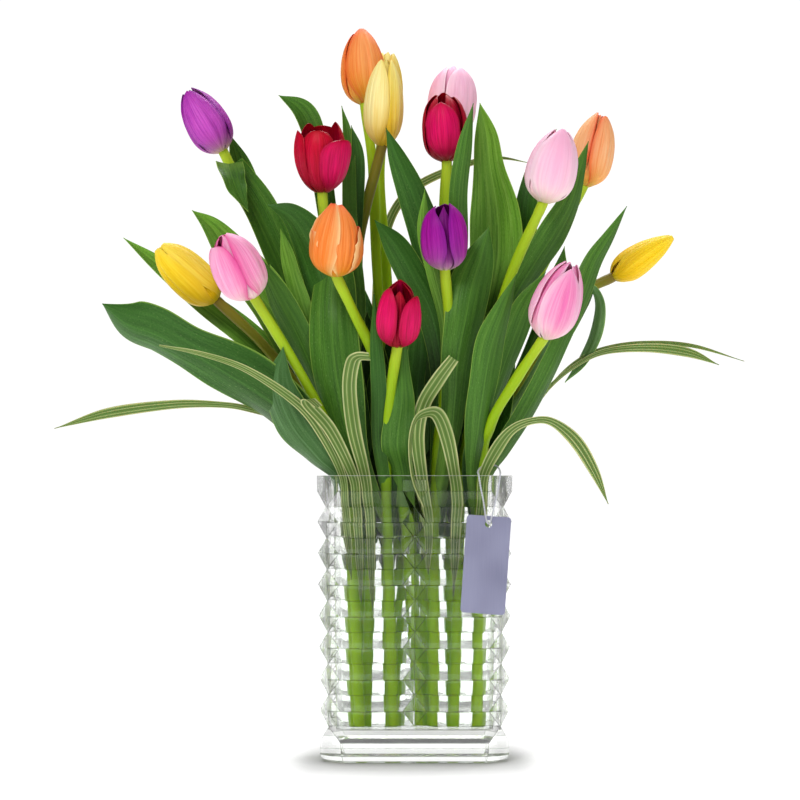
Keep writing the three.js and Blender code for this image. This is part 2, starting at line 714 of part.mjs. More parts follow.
// A closed bloom: three outer petals standing out over three inner ones, their tips round a sunk middle
function bloom(tulip) {
  const { base, axis, right, out, height } = bloomFrame(tulip);
  const spot = (azimuth, radius, lift) => base.clone()
    .addScaledVector(axis, GAP + lift * (height - GAP))
    .addScaledVector(right, radius * Math.sin(THREE.MathUtils.degToRad(azimuth)))
    .addScaledVector(out, -radius * Math.cos(THREE.MathUtils.degToRad(azimuth)));
  const rows = BLOOM_ROWS.map((t) => {
    const narrowed = NARROW_BY * (Math.max(0, t - NARROW_FROM) / (1 - NARROW_FROM));
    const outerHalf = OUTER_HALF_ANGLE * (1 - narrowed);
    const innerHalf = LAYER_HALF_SUM - outerHalf;
    const ring = [];
    for (let k = 0; k < 3; k += 1) {
      OUTER_COLUMNS.forEach(([s, tall]) => {
        ring.push(spot(120 * k + s * outerHalf, tulip.radius * profileAt(t * tall), t * tall));
      });
      INNER_COLUMNS.forEach(([s, tall]) => {
        const radius = tulip.radius * profileAt(t * tall) * (1 - LAYER_STEP * Math.min(1, 4 * t));
        ring.push(spot(120 * k + 60 + s * innerHalf, radius, t * tall));
      });
    }
    return ring;
  });
  const count = rows[0].length;
  const points = rows.flat();
  points.push(spot(0, 0, 0), spot(0, 0, CROWN_DEPTH));
  const index = [];
  for (let j = 0; j < count; j += 1) {
    const next = (j + 1) % count;
    for (let k = 0; k + 1 < rows.length; k += 1) {
      const low = k * count;
      index.push(low + j, low + count + j, low + next, low + next, low + count + j, low + count + next);
    }
    const top = (rows.length - 1) * count;
    index.push(j, next, points.length - 2, top + next, top + j, points.length - 1);
  }
  return solid(points.flatMap((point) => point.toArray()), index);
}

function stemPoints(tulip) {
  const foot = [tulip.foot[0], tulip.foot[1], FLOOR + GAP];
  return [foot, ...tulip.stem.map((spot) => place(spot).toArray())];
}

function stem(tulip, grow) {
  const front = new THREE.Vector3(0, -1, 0);
  const rows = frames(stemPoints(tulip), sharesOf(STEM_STEPS), front, bloomFrame(tulip).axis);
  return tube(rows, rows.map(() => STEM_RADIUS + grow), STEM_SIDES);
}

// The point of a stem at height z
function stemAt(tulip, z) {
  const points = stemPoints(tulip);
  let low = 0;
  let high = 1;
  for (let k = 0; k < 30; k += 1) {
    const middle = (low + high) / 2;
    if (along(points, middle)[2] < z) {
      low = middle;
    } else {
      high = middle;
    }
  }
  return along(points, low);
}

// A blade along points x, y, z, half width:
// a shallow trough whose edges lie back by `cup` of the half width
function blade(points, shares, cols, thick, cup, face, grow) {
  const rows = frames(points.map((p) => p.slice(0, 3)), shares, face);
  const grid = rows.map(({ centre, side, normal }, k) => {
    const half = Math.max(along(points, shares[k])[3], TIP_HALF) + grow;
    return cols.map((s) => centre.clone().addScaledVector(side, s * half)
      .addScaledVector(normal, -cup * half * s * s));
  });
  return slab(grid, thick + 2 * grow);
}

function leaf(tulip, { from, path, half }, grow) {
  const start = [...stemAt(tulip, from), STEM_RADIUS];
  const points = [start, ...path.map((spot, k) => [...place(spot).toArray(), half[k]])];
  const middle = points[Math.floor(points.length / 2)];
  const turn = THREE.MathUtils.clamp(middle[0] / FACE_REACH, -0.5, 0.5);
  const face = new THREE.Vector3(turn, middle[1] < 0 ? -1 : 1, 0).normalize();
  const cols = Math.max(...half) > WIDE_HALF ? [-1, -0.5, 0, 0.5, 1] : [-1, 0, 1];
  const shares = sharesOf(Math.min(2 * path.length - 1, LEAF_STEPS), TIP_EASE);
  return blade(points, shares, cols, LEAF_THICK, CUP, face, grow);
}

function grassBlade({ path, half }, grow) {
  const points = path.map((point, k) => [...point, half[k]]);
  const face = new THREE.Vector3(0, -1, 0);
  return blade(points, sharesOf(2 * (path.length - 1)), [-1, 1], GRASS_THICK, 0, face, grow);
}

function tagSolid() {
  const [w, h, r] = [TAG_WIDTH / 2, TAG_HEIGHT / 2, TAG_CORNER];
  const outline = new THREE.Shape();
  outline.absarc(w - r, h - r, r, 0, Math.PI / 2);
  outline.absarc(-w + r, h - r, r, Math.PI / 2, Math.PI);
  outline.absarc(-w + r, -h + r, r, Math.PI, 1.5 * Math.PI);
  outline.absarc(w - r, -h + r, r, 1.5 * Math.PI, 2 * Math.PI);
  const hole = new THREE.Path();
  hole.absarc(0, h - TAG_HOLE_DROP, TAG_HOLE, 0, 2 * Math.PI, true);
  outline.holes.push(hole);
  return new THREE.ExtrudeGeometry(outline, { depth: TAG_THICK, bevelEnabled: false, curveSegments: 3 });
}

function largest(body) {
  return body.decompose().reduce((best, piece) => (piece.volume() > best.volume() ? piece : best));
}

function meshOf(name, body, material) {
  const { vertProperties, triVerts } = body.getMesh();
  const geometry = new THREE.BufferGeometry();
  geometry.setAttribute('position', new THREE.BufferAttribute(new Float32Array(vertProperties), 3));
  geometry.setIndex(new THREE.BufferAttribute(new Uint32Array(triVerts), 1));
  geometry.computeVertexNormals();
  const mesh = new THREE.Mesh(geometry, material);
  mesh.name = name;
  return mesh;
}

function material(color, roughness = 0.5, metalness = 0) {
  return new THREE.MeshStandardMaterial({ color, roughness, metalness });
}

const bunch = new THREE.Group();

// Vase
const vase = vaseBody().subtract(cavity(FLOOR, VASE_HEIGHT + OVER_RIM, 0));
bunch.add(meshOf('vase', vase, material(0xe8f0ee, 0.05)));

// Space that the vase's wall takes up: nothing of the bunch goes into it.
const keepOut = solidOf(new THREE.BoxGeometry(...AROUND_VASE).translate(0, 0, AROUND_VASE[2] / 2))
  .subtract(cavity(1, VASE_HEIGHT + OVER_RIM, GAP));

// Grass blades, blooms and stems, each with a slightly grown copy that cuts what comes after it
const cutters = [];
GRASS.forEach((item, k) => {
  const body = grassBlade(item, 0);
  bunch.add(meshOf(`grass_${k + 1}`, body, material(COLOURS.grass)));
  cutters.push({ owner: `grass_${k + 1}`, body: grassBlade(item, GAP) });
});
TULIPS.forEach((tulip) => {
  bunch.add(meshOf(`${tulip.name}_bloom`, bloom(tulip), material(COLOURS[tulip.colour])));
  cutters.push({ owner: 'bloom', body: bloomRoom(tulip) });
  cutters.push({ owner: tulip.name, body: stem(tulip, GAP) });
});

// Leaves, cut clear of everything laid before them and joined to their stem
const stems = [];
TULIPS.forEach((tulip) => {
  let body = stem(tulip, 0);
  tulip.leaves.forEach((item) => {
    let sheet = leaf(tulip, item, 0).subtract(keepOut);
    cutters.forEach(({ owner, body: cutter }) => {
      if (owner !== tulip.name) {
        sheet = sheet.subtract(cutter);
      }
    });
    body = body.add(sheet);
    cutters.push({ owner: tulip.name, body: leaf(tulip, item, GAP) });
  });
  stems.push(stem(tulip, GAP));
  bunch.add(meshOf(`${tulip.name}_stem`, largest(body), material(COLOURS.leaf)));
});

// Water, with a plain hole for each stem
let water = cavity(FLOOR + GAP, WATER_LEVEL, GAP);
stems.forEach((body) => {
  water = water.subtract(body);
});
bunch.add(meshOf('water', largest(water), material(0xdfeee6, 0.02)));

// Tag and string
const tag = meshOf('hang_tag', solidOf(tagSolid()), material(0xb4b4cc, 0.3, 0.6));
tag.rotation.set(Math.PI / 2, 0, 0);
const tagHolder = new THREE.Group();
tagHolder.rotation.set(0, THREE.MathUtils.degToRad(TAG_TILT), 0);
tagHolder.position.set(...TAG_PLACE);
tagHolder.add(tag);
bunch.add(tagHolder);
const stringRows = frames(STRING_PATH, sharesOf(STRING_STEPS), new THREE.Vector3(1, 0, 0));
const string = tube(stringRows, stringRows.map(() => STRING_RADIUS), STRING_SIDES);
bunch.add(meshOf('tag_string', string, material(0xd8d8dc, 0.6)));

export default bunch;
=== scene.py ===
"""Looks of sixteen cut tulips with striped grass in a pressed-glass vase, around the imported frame."""

import math
import random
from collections import namedtuple
from contextlib import contextmanager

import bmesh
import bpy
import numpy as np
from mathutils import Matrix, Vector


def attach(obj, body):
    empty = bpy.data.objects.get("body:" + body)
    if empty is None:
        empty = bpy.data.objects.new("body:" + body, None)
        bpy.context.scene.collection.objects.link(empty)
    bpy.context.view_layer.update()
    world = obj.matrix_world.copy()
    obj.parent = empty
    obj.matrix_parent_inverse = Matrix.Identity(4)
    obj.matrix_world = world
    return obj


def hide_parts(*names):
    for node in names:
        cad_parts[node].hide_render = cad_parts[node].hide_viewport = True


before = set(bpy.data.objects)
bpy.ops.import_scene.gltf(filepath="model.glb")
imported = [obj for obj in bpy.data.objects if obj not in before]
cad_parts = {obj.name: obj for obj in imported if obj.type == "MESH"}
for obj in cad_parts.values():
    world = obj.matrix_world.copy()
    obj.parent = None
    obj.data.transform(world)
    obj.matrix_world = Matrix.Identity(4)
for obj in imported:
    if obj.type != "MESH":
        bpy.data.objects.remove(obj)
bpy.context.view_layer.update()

# All sizes below are in millimetres, as in the frame's drawing, and turned into metres by MM.
MM = 0.001

# Vase and water
VASE_HEIGHT = 200
HALF_WIDTH = 62
HALF_DEPTH = 34
TAPER = 0.96
RELIEF = 6.5
HIP = 8.4
PITCH = 21.9
FIRST_VALLEY = 25.2
PRISM_ROWS = 7
RIM_BAND = 189
RIM_FLAT = 3
FOOT_BAND = 14
FOOT_ROUND = 5
WALL = 5
FLOOR = 22
INNER_CORNER = 6
CORNER_STEPS = 8
PANE_STEPS = 10
SWELL = 2.2
HOLLOW = 1.2
STEP = 0.5
SLOPE = RELIEF / (PITCH / 2)
GLASS_EDGE = 0.8
EDGE_ANGLE = 22
FLAT_ANGLE = 0.2
WELD = 1e-6
WATER_LEVEL = 157
WATER_OVERLAP = 0.15
MENISCUS = 1.2

# Bunch
GAP = 0.3
STEM_RADIUS = 3.7
STALK_ROWS = 70
STALK_SIDES = 20
STALK_WAVE = 0.05
STALK_WAVE_RATE = 22
STALK_THINNING = 0.04
LEAF_ROWS = 72
LEAF_COLS = 17
LEAF_THICK = 0.9
LEAF_EDGE = 0.4
GRASS_ROWS = 110
GRASS_COLS = 9
GRASS_THICK = 0.8
TIP_HALF = 0.25
TIP_EASE = 1.25
CLASP_REACH = 0.06
EDGE_WAVE = 0.14
CUP = 0.32
FACE_REACH = 150
MOUTH_DEPTH = 26
FAN = 0.3
PETAL_ROWS = 41
PETAL_COLS = 35
PETAL_THICK = 0.9
PETAL_EDGE = 0.3
PETAL_EASE = 1.35
PHASE_RANGE = 6.28

# Relief of a petal: heights in millimetres on a bloom of 20 mm radius, places and widths in shares of its
# half width
GROOVE_DEPTH = 0.6
GROOVE_WIDTH = 0.08
RIDGE_HEIGHT = 0.45
RIDGE_PLACE = 0.22
RIDGE_WIDTH = 0.12
RIB_HEIGHT = 0.34
FINE_RIB_HEIGHT = 0.15
SKEW = 0.3
DENT = 0.3
CURL = 0.5

# Hang tag and its string
TAG_WIDTH = 31
TAG_HEIGHT = 68
TAG_THICK = 0.9
TAG_CORNER = 2.5
TAG_CORNER_STEPS = 6
TAG_HOLE = 2.5
TAG_HOLE_DROP = 5.5
TAG_TILT = 4
TAG_PLACE = (49.4, -40.5, 138)
TAG_EDGE = 0.25
STRING_DIAMETER = 1.2
STRING_ROWS = 420
PLY_SIDES = 7
PLY_PITCH = 3.4
PLY_SHARE = 0.28
PLY_SWELL = 1.05
STRING_PATH = [
    (52, -24.2, 207.4), (48.6, -25.6, 206.8), (45.4, -29.6, 204.8), (44.2, -34.6, 202.6),
    (44.1, -39.2, 201.6), (44.7, -41.6, 199.2), (45.8, -41.7, 192), (47.6, -42, 183), (48.9, -42.4, 174),
    (49.7, -42.3, 169.8), (50.4, -41.6, 167.4), (51.4, -41.2, 166.6), (52.4, -41.6, 167.4),
    (53.1, -42.3, 169.8), (54.2, -42.4, 174), (56.3, -42, 183), (58.2, -41.7, 192), (59.2, -41.6, 199.2),
    (59.6, -39.2, 201.6), (59.7, -34.6, 202.6), (59, -29.6, 204.8), (57, -25.6, 206.8), (54.4, -24.2, 207.4),
]

# Camera, as the photograph was taken: level with the rim, 1.8 m in front
CAMERA_PLACE = (-10.2, -1800, 200)
CAMERA_PITCH = 1.71
CAMERA_LENS = 113.8
SENSOR = 36
FAR_CLIP = 50

# Floor: half its width in millimetres; in metres, how far its two shades reach, where the shade beside and
# before the foot starts, what lies under the foot and where the glow goes from near to full; and shares
FLOOR_REACH = 6000
SHADE_REACH = 0.08
TOUCH_REACH = 0.02
FOOT_SIDE = 0.066
FOOT_FRONT = 0.03
UNDER_SIDE = 0.057
UNDER_FRONT = 0.02
GLOW_START = 0.12
GLOW_END = 0.6
NEAR_GLOW = 0.8
SIDE_FALL = 55.0
FRONT_FALL = 14.0
FLOOR_SHADE = 0.6

# Share of a petal's own colour that a painted lit tone or a painted shaded tone replaces
LIT_TONE_SHARE = 0.74
SHADED_TONE_SHARE = 0.75

# Share of the half width at shares of the height: of blooms by their outline, and of a petal
BLOOM_OUTLINES = {
    "cup": [(0, 0.24), (0.04, 0.42), (0.12, 0.64), (0.25, 0.83), (0.4, 0.95), (0.55, 1), (0.7, 0.98),
            (0.84, 0.88), (0.94, 0.74), (1, 0.62)],
    "barrel": [(0, 0.24), (0.04, 0.52), (0.1, 0.76), (0.2, 0.93), (0.34, 1), (0.52, 1), (0.68, 0.93),
               (0.82, 0.77), (0.92, 0.53), (1, 0.24)],
    "egg": [(0, 0.24), (0.05, 0.55), (0.13, 0.82), (0.27, 0.98), (0.42, 1), (0.6, 0.93), (0.76, 0.77),
            (0.89, 0.52), (1, 0.2)],
    "bud": [(0, 0.24), (0.05, 0.56), (0.12, 0.82), (0.25, 0.98), (0.4, 0.98), (0.6, 0.85), (0.78, 0.62),
            (0.9, 0.4), (1, 0.14)],
}
PETAL_WIDTH = [
    (0, 0.5), (0.12, 0.78), (0.3, 0.98), (0.5, 1), (0.7, 0.97), (0.82, 0.89), (0.9, 0.77), (0.95, 0.61),
    (0.985, 0.37), (1, 0.12),
]

# Tulips from left to right, as in the frame. A place is x, z and a share of the bunch's depth there.
# petals: their palette; waves: how wavy their edges are; twist: degrees that they turn round the bloom from
# foot to tip; stalk: its colours; foot: x and y; radius: the bloom's; tip: its top place; stem: its places
# leaves: tone, height where the leaf leaves the stem, its places with half widths, those of a folded tip
# mouth: a lower leaf that clasps the stem in the vase's mouth, by start height, lean in x and half width
# heart: a dark leaf in the heart of the bunch, its near-black tone a painted shade, by start height, x, y
# and z of its tip, half width and tone
# set: its six petals by turn in degrees from the front to the left, how far inside the bloom's side, share
# of its height, half width in degrees and, where they aren't plain, flare, taper and tone (1 a painted lit
# tone, 2 a painted shaded tone)
Tulip = namedtuple("Tulip", "name slot outline petals waves twist stalk foot radius tip stem leaves "
                            "mouth heart set")
TULIPS = [
    Tulip("pink_left", "petal_pink", "barrel", "rose", 0.3, -8, "green", (-38, -16), 16.5, (-132, 364, -1),
          [(-46, 196, -0.62), (-60, 232, -0.75), (-80, 272, -0.85), (-111, 323, -0.95)], [
        ("deep", 160, [(-50, 198, -0.8, 5.5), (-63, 213, -0.92, 12), (-87, 241, -0.95, 21),
         (-110, 258, -0.92, 23), (-134, 273, -0.86, 21.5), (-157, 286, -0.8, 19.5),
         (-180, 298, -0.75, 20.5), (-201, 306, -0.68, 16.5), (-218, 320, -0.6, 0)]),
        ("blue", 162, [(-52, 196, -0.9, 5), (-68, 213, -1.05, 12), (-86, 236, -1.1, 15),
         (-95, 262, -1.05, 12.5), (-91, 289, -0.98, 0)]),
        ("mid", 190, [(-60, 242, -0.55, 6.5), (-79, 292, -0.55, 10), (-95, 323, -0.55, 10),
         (-110, 355, -0.55, 0)]),
    ], (138, 7, 9), (160, (-48, 2, 268), 12, "deep"), [
        (-10, 3.1, 1, 54), (112, 3.1, 0.97, 56), (-130, 3.1, 0.98, 56), (175, 0, 0.98, 60, 0, 0.8),
        (-64, 0, 1, 64, -0.02, 0.7), (57, -1.5, 0.92, 60, 0.02, 0.8),
    ]),
    Tulip("yellow_left", "petal_yellow", "barrel", "yellow", 0.15, 4, "brown", (-41, -6), 14.5,
          (-180, 361, -0.3),
          [(-48, 196, -0.02), (-67, 239, -0.08), (-104, 289, -0.15), (-140, 324, -0.22)], [
        ("light", 165, [(-47, 198, 0.13, 5), (-60, 225, 0.12, 7), (-91, 270, 0.08, 10),
         (-121, 300, 0.07, 11.5), (-150, 323, 0.08, 10), (-183, 350, 0.08, 6.5), (-208, 370, 0.06, 0)]),
        ("light", 170, [(-40, 207, 0.26, 6), (-57, 240, 0.24, 10), (-79, 277, 0.22, 14.5),
         (-100, 315, 0.22, 17.5), (-124, 347, 0.22, 17.5), (-144, 376, 0.22, 9.5), (-160, 391, 0.2, 0)]),
        ("light", 185, [(-49, 225, -0.28, 5.5), (-66, 267, -0.33, 7), (-77, 306, -0.38, 8),
         (-85, 334, -0.4, 7), (-90, 355, -0.4, 5.5), (-94, 373, -0.38, 0)]),
    ], None, None, [
        (0, 3.1, 0.99, 54), (120, 3.1, 0.98, 56), (-120, 3.1, 0.97, 56), (180, 0, 0.98, 62, 0, 0.8),
        (-62, 0, 0.99, 62, -0.02, 0.6, 1), (56, -1.2, 1, 62, 0, 0.6),
    ]),
    Tulip("purple_left", "petal_purple", "egg", "purple", 0.4, 4, "green", (-37, 16), 15.5,
          (-165, 480, 0.28),
          [(-41, 196, 0.6), (-65, 269, 0.5), (-101, 357, 0.42), (-139, 436, 0.35)], [
        ("mid", 180, [(-41, 225, 0.48, 6.5), (-55, 260, 0.48, 9.5), (-77, 312, 0.43, 12.5),
         (-96, 355, 0.37, 13.5), (-113, 392, 0.3, 13.5), (-126, 413, 0.24, 12), (-132, 422, 0.16, 10)],
         [(-134, 424, 0.14, 10.5), (-130.5, 412.5, 0.08, 9.5), (-125.5, 400.5, 0.06, 6),
          (-118.5, 388.5, 0.05, 0)]),
        ("mid", 200, [(-58, 280, 0.68, 6.5), (-84, 328, 0.68, 9.5), (-112, 386, 0.62, 9.5),
         (-128, 427, 0.6, 8.5), (-136, 452, 0.55, 0)]),
    ], (142, 5, 10), (165, (-62, 12, 300), 14, "deep"), [
        (62, 3.5, 0.99, 54, 0, 1, 2), (-62, 3.3, 0.98, 50, 0, 1, 2), (180, 3.3, 0.98, 58, 0, 1, 2),
        (112, 0, 0.98, 50, 0.04, 0.9), (-112, 0, 1, 62, 0.04), (6, -1.4, 0.97, 54, 0, 0.9, 1),
    ]),
    Tulip("red_left", "petal_red", "cup", "red", 0.5, 0, "green", (-34, 4), 19, (-65, 448, -0.32),
          [(-31, 196, -0.06), (-46, 254, -0.12), (-60, 331, -0.25), (-65, 399, -0.3)], [
        ("mid", 300, [(-57, 346, -0.05, 6.5), (-66, 404, 0.08, 8), (-70, 434, 0.08, 8.5),
         (-80, 460, 0.04, 8.5), (-97, 472, 0.02, 0)]),
        ("mid", 260, [(-40, 318, -0.1, 5), (-46, 375, -0.02, 5.5), (-47, 419, 0.03, 5),
         (-48, 444, 0.05, 3.5), (-52, 465, 0.06, 0)]),
        ("deep", 185, [(-38, 232, -0.3, 7), (-46, 264, -0.33, 10.5), (-56, 303, -0.35, 14),
         (-65, 336, -0.38, 15.5), (-75, 364, -0.4, 15), (-87, 382, -0.38, 9), (-103, 390, -0.35, 0)]),
    ], (146, 6, 10), (168, (-34, 22, 318), 16, "dark"), [
        (180, 0, 0.95, 60, 0.02, 1, 2), (122, 3, 0.98, 56, 0.05, 1.1, 2), (-112, 3, 1, 56, 0.05, 1.1, 2),
        (12, 1.5, 0.87, 50, -0.02, 0.9), (86, 0, 0.88, 50, 0.06), (-50, -1.2, 0.74, 54, 0.06, 1, 1),
    ]),
    Tulip("yellow_top", "petal_yellow_pale", "egg", "cream", 0.3, 0, "brown", (-17, 7), 13.5,
          (-20, 499, 0.03),
          [(-22, 196, 0.5), (-35, 269, 0.4), (-41, 349, 0.3), (-35, 391, 0.2), (-23, 436, 0.07)], [
        ("deep", 300, [(-44, 340, 0.2, 5), (-42, 398, 0.12, 5.5), (-41, 429, 0.05, 5), (-45, 450, 0, 0)]),
        ("deep", 200, [(-33, 233, 0.62, 6.5), (-47, 277, 0.66, 10), (-60, 321, 0.68, 10),
         (-69, 366, 0.68, 0)]),
    ], (140, -5, 10), None, [
        (0, 3.3, 0.97, 52, 0, 1, 2), (125, 3.1, 0.98, 56), (-120, 3, 0.98, 52, 0.02, 1, 2),
        (180, 0, 0.96, 60), (-66, 0, 0.97, 60, 0.02, 0.9), (42, -1.2, 0.97, 60, 0, 1.1, 1),
    ]),
    Tulip("orange_top", "petal_orange", "egg", "orange", 0.3, 4, "green", (-13, 18), 16, (-39, 527, 0.4),
          [(-10, 196, 0.62), (-21, 269, 0.55), (-27, 350, 0.5), (-30, 423, 0.45), (-36, 472, 0.42)], [
        ("deep", 185, [(-18, 226, 0.82, 6), (-29, 277, 0.92, 11), (-42, 322, 0.97, 11.5),
         (-51, 364, 1, 0)]),
    ], (150, 9, 10), (160, (-8, 34, 328), 17, "dark"), [
        (52, 3.1, 0.96, 54), (-72, 3.1, 0.97, 54), (180, 3.1, 0.97, 58), (108, 0, 0.96, 52, 0.02, 0.9),
        (-128, 0, 0.95, 60), (-14, -1.2, 1, 62, 0, 0.7),
    ]),
    Tulip("yellow_back", "petal_yellow_pale", "egg", "cream", 0.3, 4, "green", (5, 19), 13.5,
          (-19, 517, 0.7),
          [(-2, 196, 0.74), (-13, 269, 0.75), (-21, 359, 0.75), (-25, 419, 0.74), (-24, 451, 0.73)], [
        ("deep", 190, [(1, 233, 0.95, 6.5), (7, 285, 1.05, 11), (17, 330, 1.08, 11.5), (29, 370, 1.05, 0)]),
    ], (142, 4, 9), (165, (16, 30, 325), 17, "dark"), [
        (0, 3, 0.98, 56, 0.1), (120, 3, 0.98, 56, 0.1, 1, 2), (-120, 3, 0.98, 56, 0.1),
        (60, 0, 0.97, 58, 0.1), (-60, 0, 0.97, 58, 0.1, 1, 2), (180, 0, 0.96, 60, 0.1),
    ]),
    Tulip("red_mid", "petal_red", "barrel", "red", 0.4, -6, "green", (-15, -17), 14.5, (-10, 333, -1.12),
          [(-20, 196, -0.72), (-19, 232, -0.95), (-16, 263, -1.05), (-12, 289, -1.1)], [
        ("mid", 160, [(-36, 198, -0.85, 8), (-46, 225, -0.95, 12), (-54, 266, -0.9, 18),
         (-58, 308, -0.7, 17), (-57, 342, -0.42, 14), (-52, 372, -0.3, 0)]),
        ("deep", 185, [(-25, 225, -0.98, 5), (-25, 259, -1.08, 5.5), (-27, 294, -1.02, 4),
         (-28, 325, -0.92, 0)]),
    ], (150, 4, 9), (160, (-26, 6, 290), 14, "dark"), [
        (180, 0.2, 1, 62, -0.06, 0.7, 1), (120, 3, 0.95, 55, -0.1, 1, 2), (-115, 3, 0.95, 55, -0.1, 1, 2),
        (4, 4.6, 0.86, 40, -0.15, 1, 2), (62, -0.4, 0.9, 58, -0.05, 1.1, 1), (-60, -0.8, 0.8, 57, 0, 1, 1),
    ]),
    Tulip("orange_mid", "petal_orange", "egg", "salmon", 1.3, -22, "green", (4, -15), 17, (-54, 386, -0.95),
          [(-9, 196, -0.5), (-14, 232, -0.6), (-27, 280, -0.82), (-43, 314, -1), (-54, 337, -0.98)], [
        ("mid", 160, [(-8, 200, -0.8, 8.5), (-12, 222, -1.1, 11.5), (-9, 250, -1.12, 9), (-9, 274, -1, 5.5),
         (-7, 305, -0.85, 0)]),
    ], (146, -9, 9), None, [
        (180, 0, 0.97, 60), (100, -0.8, 0.64, 54, 0.05, 0.7), (-102, -0.8, 0.66, 54, 0.05, 0.7),
        (0, 3.5, 0.96, 46, 0, 1, 2), (-42, 0.5, 0.98, 54, -0.02, 0.6), (40, -1.2, 1, 49, 0, 0.6),
    ]),
    Tulip("red_right", "petal_red", "barrel", "red", 0.4, 4, "green", (7, -3), 16, (20, 472, -0.1),
          [(7, 196, -0.04), (16, 268, -0.08), (23, 353, -0.1), (23, 423, -0.1)], [
        ("deep", 190, [(10, 232, -0.26, 5.5), (16, 282, -0.28, 8), (16, 324, -0.28, 10),
         (11, 361, -0.27, 12), (-1, 397, -0.26, 10.5), (-12, 424, -0.25, 6.5), (-20, 445, -0.22, 0)]),
        ("mid", 270, [(27, 310, -0.2, 5.5), (31, 359, -0.28, 7), (31, 397, -0.38, 6.5),
         (35, 429, -0.42, 5.5), (41, 460, -0.38, 0)]),
        ("deep", 170, [(0, 225, -0.25, 8), (2, 260, -0.27, 9.5), (5, 296, -0.28, 8.5), (3, 331, -0.25, 0)]),
    ], (138, 5, 10), (165, (16, -4, 292), 14, "dark"), [
        (187, 0.4, 1, 60, 0, 0.8, 2), (127, 0, 0.97, 60, 0, 0.9, 2), (-113, 0, 0.93, 60, 0.02, 0.9, 2),
        (67, 3.1, 0.94, 52, -0.02, 1, 2), (-53, 3.1, 0.95, 52, -0.02, 1, 2),
        (7, -1.5, 0.83, 47, -0.03, 1.5, 1),
    ]),
    Tulip("pink_top", "petal_pink", "barrel", "blush", 0.5, 4, "green", (13, 11), 17, (30, 497, 0.28),
          [(11, 196, 0.6), (16, 269, 0.5), (20, 357, 0.42), (23, 415, 0.35), (26, 447, 0.3)], [
        ("deep", 200, [(19, 240, 0.72, 6.5), (30, 292, 0.8, 11), (43, 337, 0.85, 11.5),
         (55, 378, 0.85, 0)]),
    ], (144, 9, 9), (165, (38, 26, 318), 16, "dark"), [
        (25, 3.1, 1, 56, 0.05, 0.8), (-90, 3.1, 0.98, 56, 0.05), (145, 3.1, 0.98, 56, 0.05),
        (80, 0, 0.97, 58, 0.04, 0.8), (-38, -1, 0.96, 56, 0.04, 0.9, 1), (-155, 0, 0.98, 60, 0.04),
    ]),
    Tulip("purple_mid", "petal_purple", "barrel", "plum", 0.4, 18, "green", (13, -12), 15.5,
          (20, 388, -0.7),
          [(15, 196, -0.5), (21, 253, -0.55), (24, 302, -0.6), (21, 343, -0.68)], [
        ("deep", 185, [(17, 232, -0.42, 5.5), (19, 274, -0.45, 8), (12, 313, -0.46, 10),
         (-1, 339, -0.45, 10.5), (-14, 362, -0.42, 8.5), (-28, 379, -0.4, 0)]),
        ("light", 250, [(22, 302, -0.48, 4), (14, 341, -0.48, 5.5), (7, 372, -0.45, 5),
         (7, 400, -0.42, 0)]),
        ("mid", 170, [(25, 225, -0.72, 7), (28, 253, -0.76, 9), (30, 281, -0.78, 11.5),
         (35, 307, -0.72, 14), (40, 333, -0.58, 15), (47, 355, -0.45, 10), (52, 374, -0.4, 0)]),
    ], (150, 7, 8), (160, (30, 8, 300), 15, "dark"), [
        (180, 0, 0.97, 60, 0.02, 1, 2), (122, 3, 0.94, 55, 0, 1, 2), (-118, 3, 0.94, 55, 0, 1, 2),
        (-4, 5.5, 0.95, 40, -0.1, 1, 2), (53, -0.8, 0.97, 57, 0.04, 1.7), (-64, -0.2, 1, 53, 0.05, 1.3),
    ]),
    Tulip("pink_right_upper", "petal_pink_pale", "egg", "blush", 0.3, 4, "green", (27, -4), 17.5,
          (103, 441, -0.48),
          [(34, 196, -0.1), (47, 268, -0.25), (66, 336, -0.38), (90, 391, -0.45)], [
        ("mid", 240, [(52, 275, -0.08, 4.5), (60, 300, -0.08, 7.5), (71.5, 328, -0.1, 9.5),
         (85, 350, -0.1, 10.5), (99, 372, -0.1, 11.5), (111, 394, -0.1, 8.5), (117.5, 416, -0.08, 5.5),
         (124, 438, -0.05, 0)]),
        ("mid", 185, [(45, 225, -0.3, 5.5), (56, 257, -0.38, 8), (68, 292, -0.43, 10), (78, 318, -0.45, 9),
         (92, 343, -0.42, 0)]),
    ], (142, -7, 9), (168, (48, -2, 280), 12, "deep"), [
        (52, 3.1, 0.97, 54), (-70, 3.1, 0.98, 54), (180, 3.1, 0.98, 58), (110, 0, 0.96, 56, 0, 0.8),
        (-120, 0, 0.97, 60, 0, 0.8), (-8, -1.2, 1, 60, 0, 0.8),
    ]),
    Tulip("orange_right", "petal_orange", "egg", "apricot", 0.4, 4, "green", (27, 12), 15.5,
          (136, 463, 0.32),
          [(27, 196, 0.6), (55, 269, 0.5), (92, 349, 0.4), (123, 410, 0.35)], [
        ("light", 200, [(36, 247, 0.3, 7), (43, 283, 0.18, 14.5), (53, 319, 0.12, 18), (60, 353, 0.1, 19.5),
         (60, 387, 0.08, 18.5), (55, 419, 0.06, 12), (52, 444, 0.05, 8.5), (47, 467, 0.05, 0)]),
        ("deep", 260, [(72, 323, 0.32, 6.5), (80, 363, 0.3, 9.5), (83, 400, 0.28, 8.5),
         (92, 430, 0.27, 6.5), (103, 451, 0.25, 0)]),
    ], (148, 7, 9), (165, (58, 18, 302), 14, "deep"), [
        (0, 3.3, 0.98, 52, 0, 1, 2), (125, 3.1, 0.98, 56), (-120, 3.1, 0.98, 56),
        (180, 0, 0.97, 62, 0, 0.8), (68, 0, 1, 62, 0, 0.7, 1), (-54, -1.2, 0.97, 60, 0.02, 0.8, 1),
    ]),
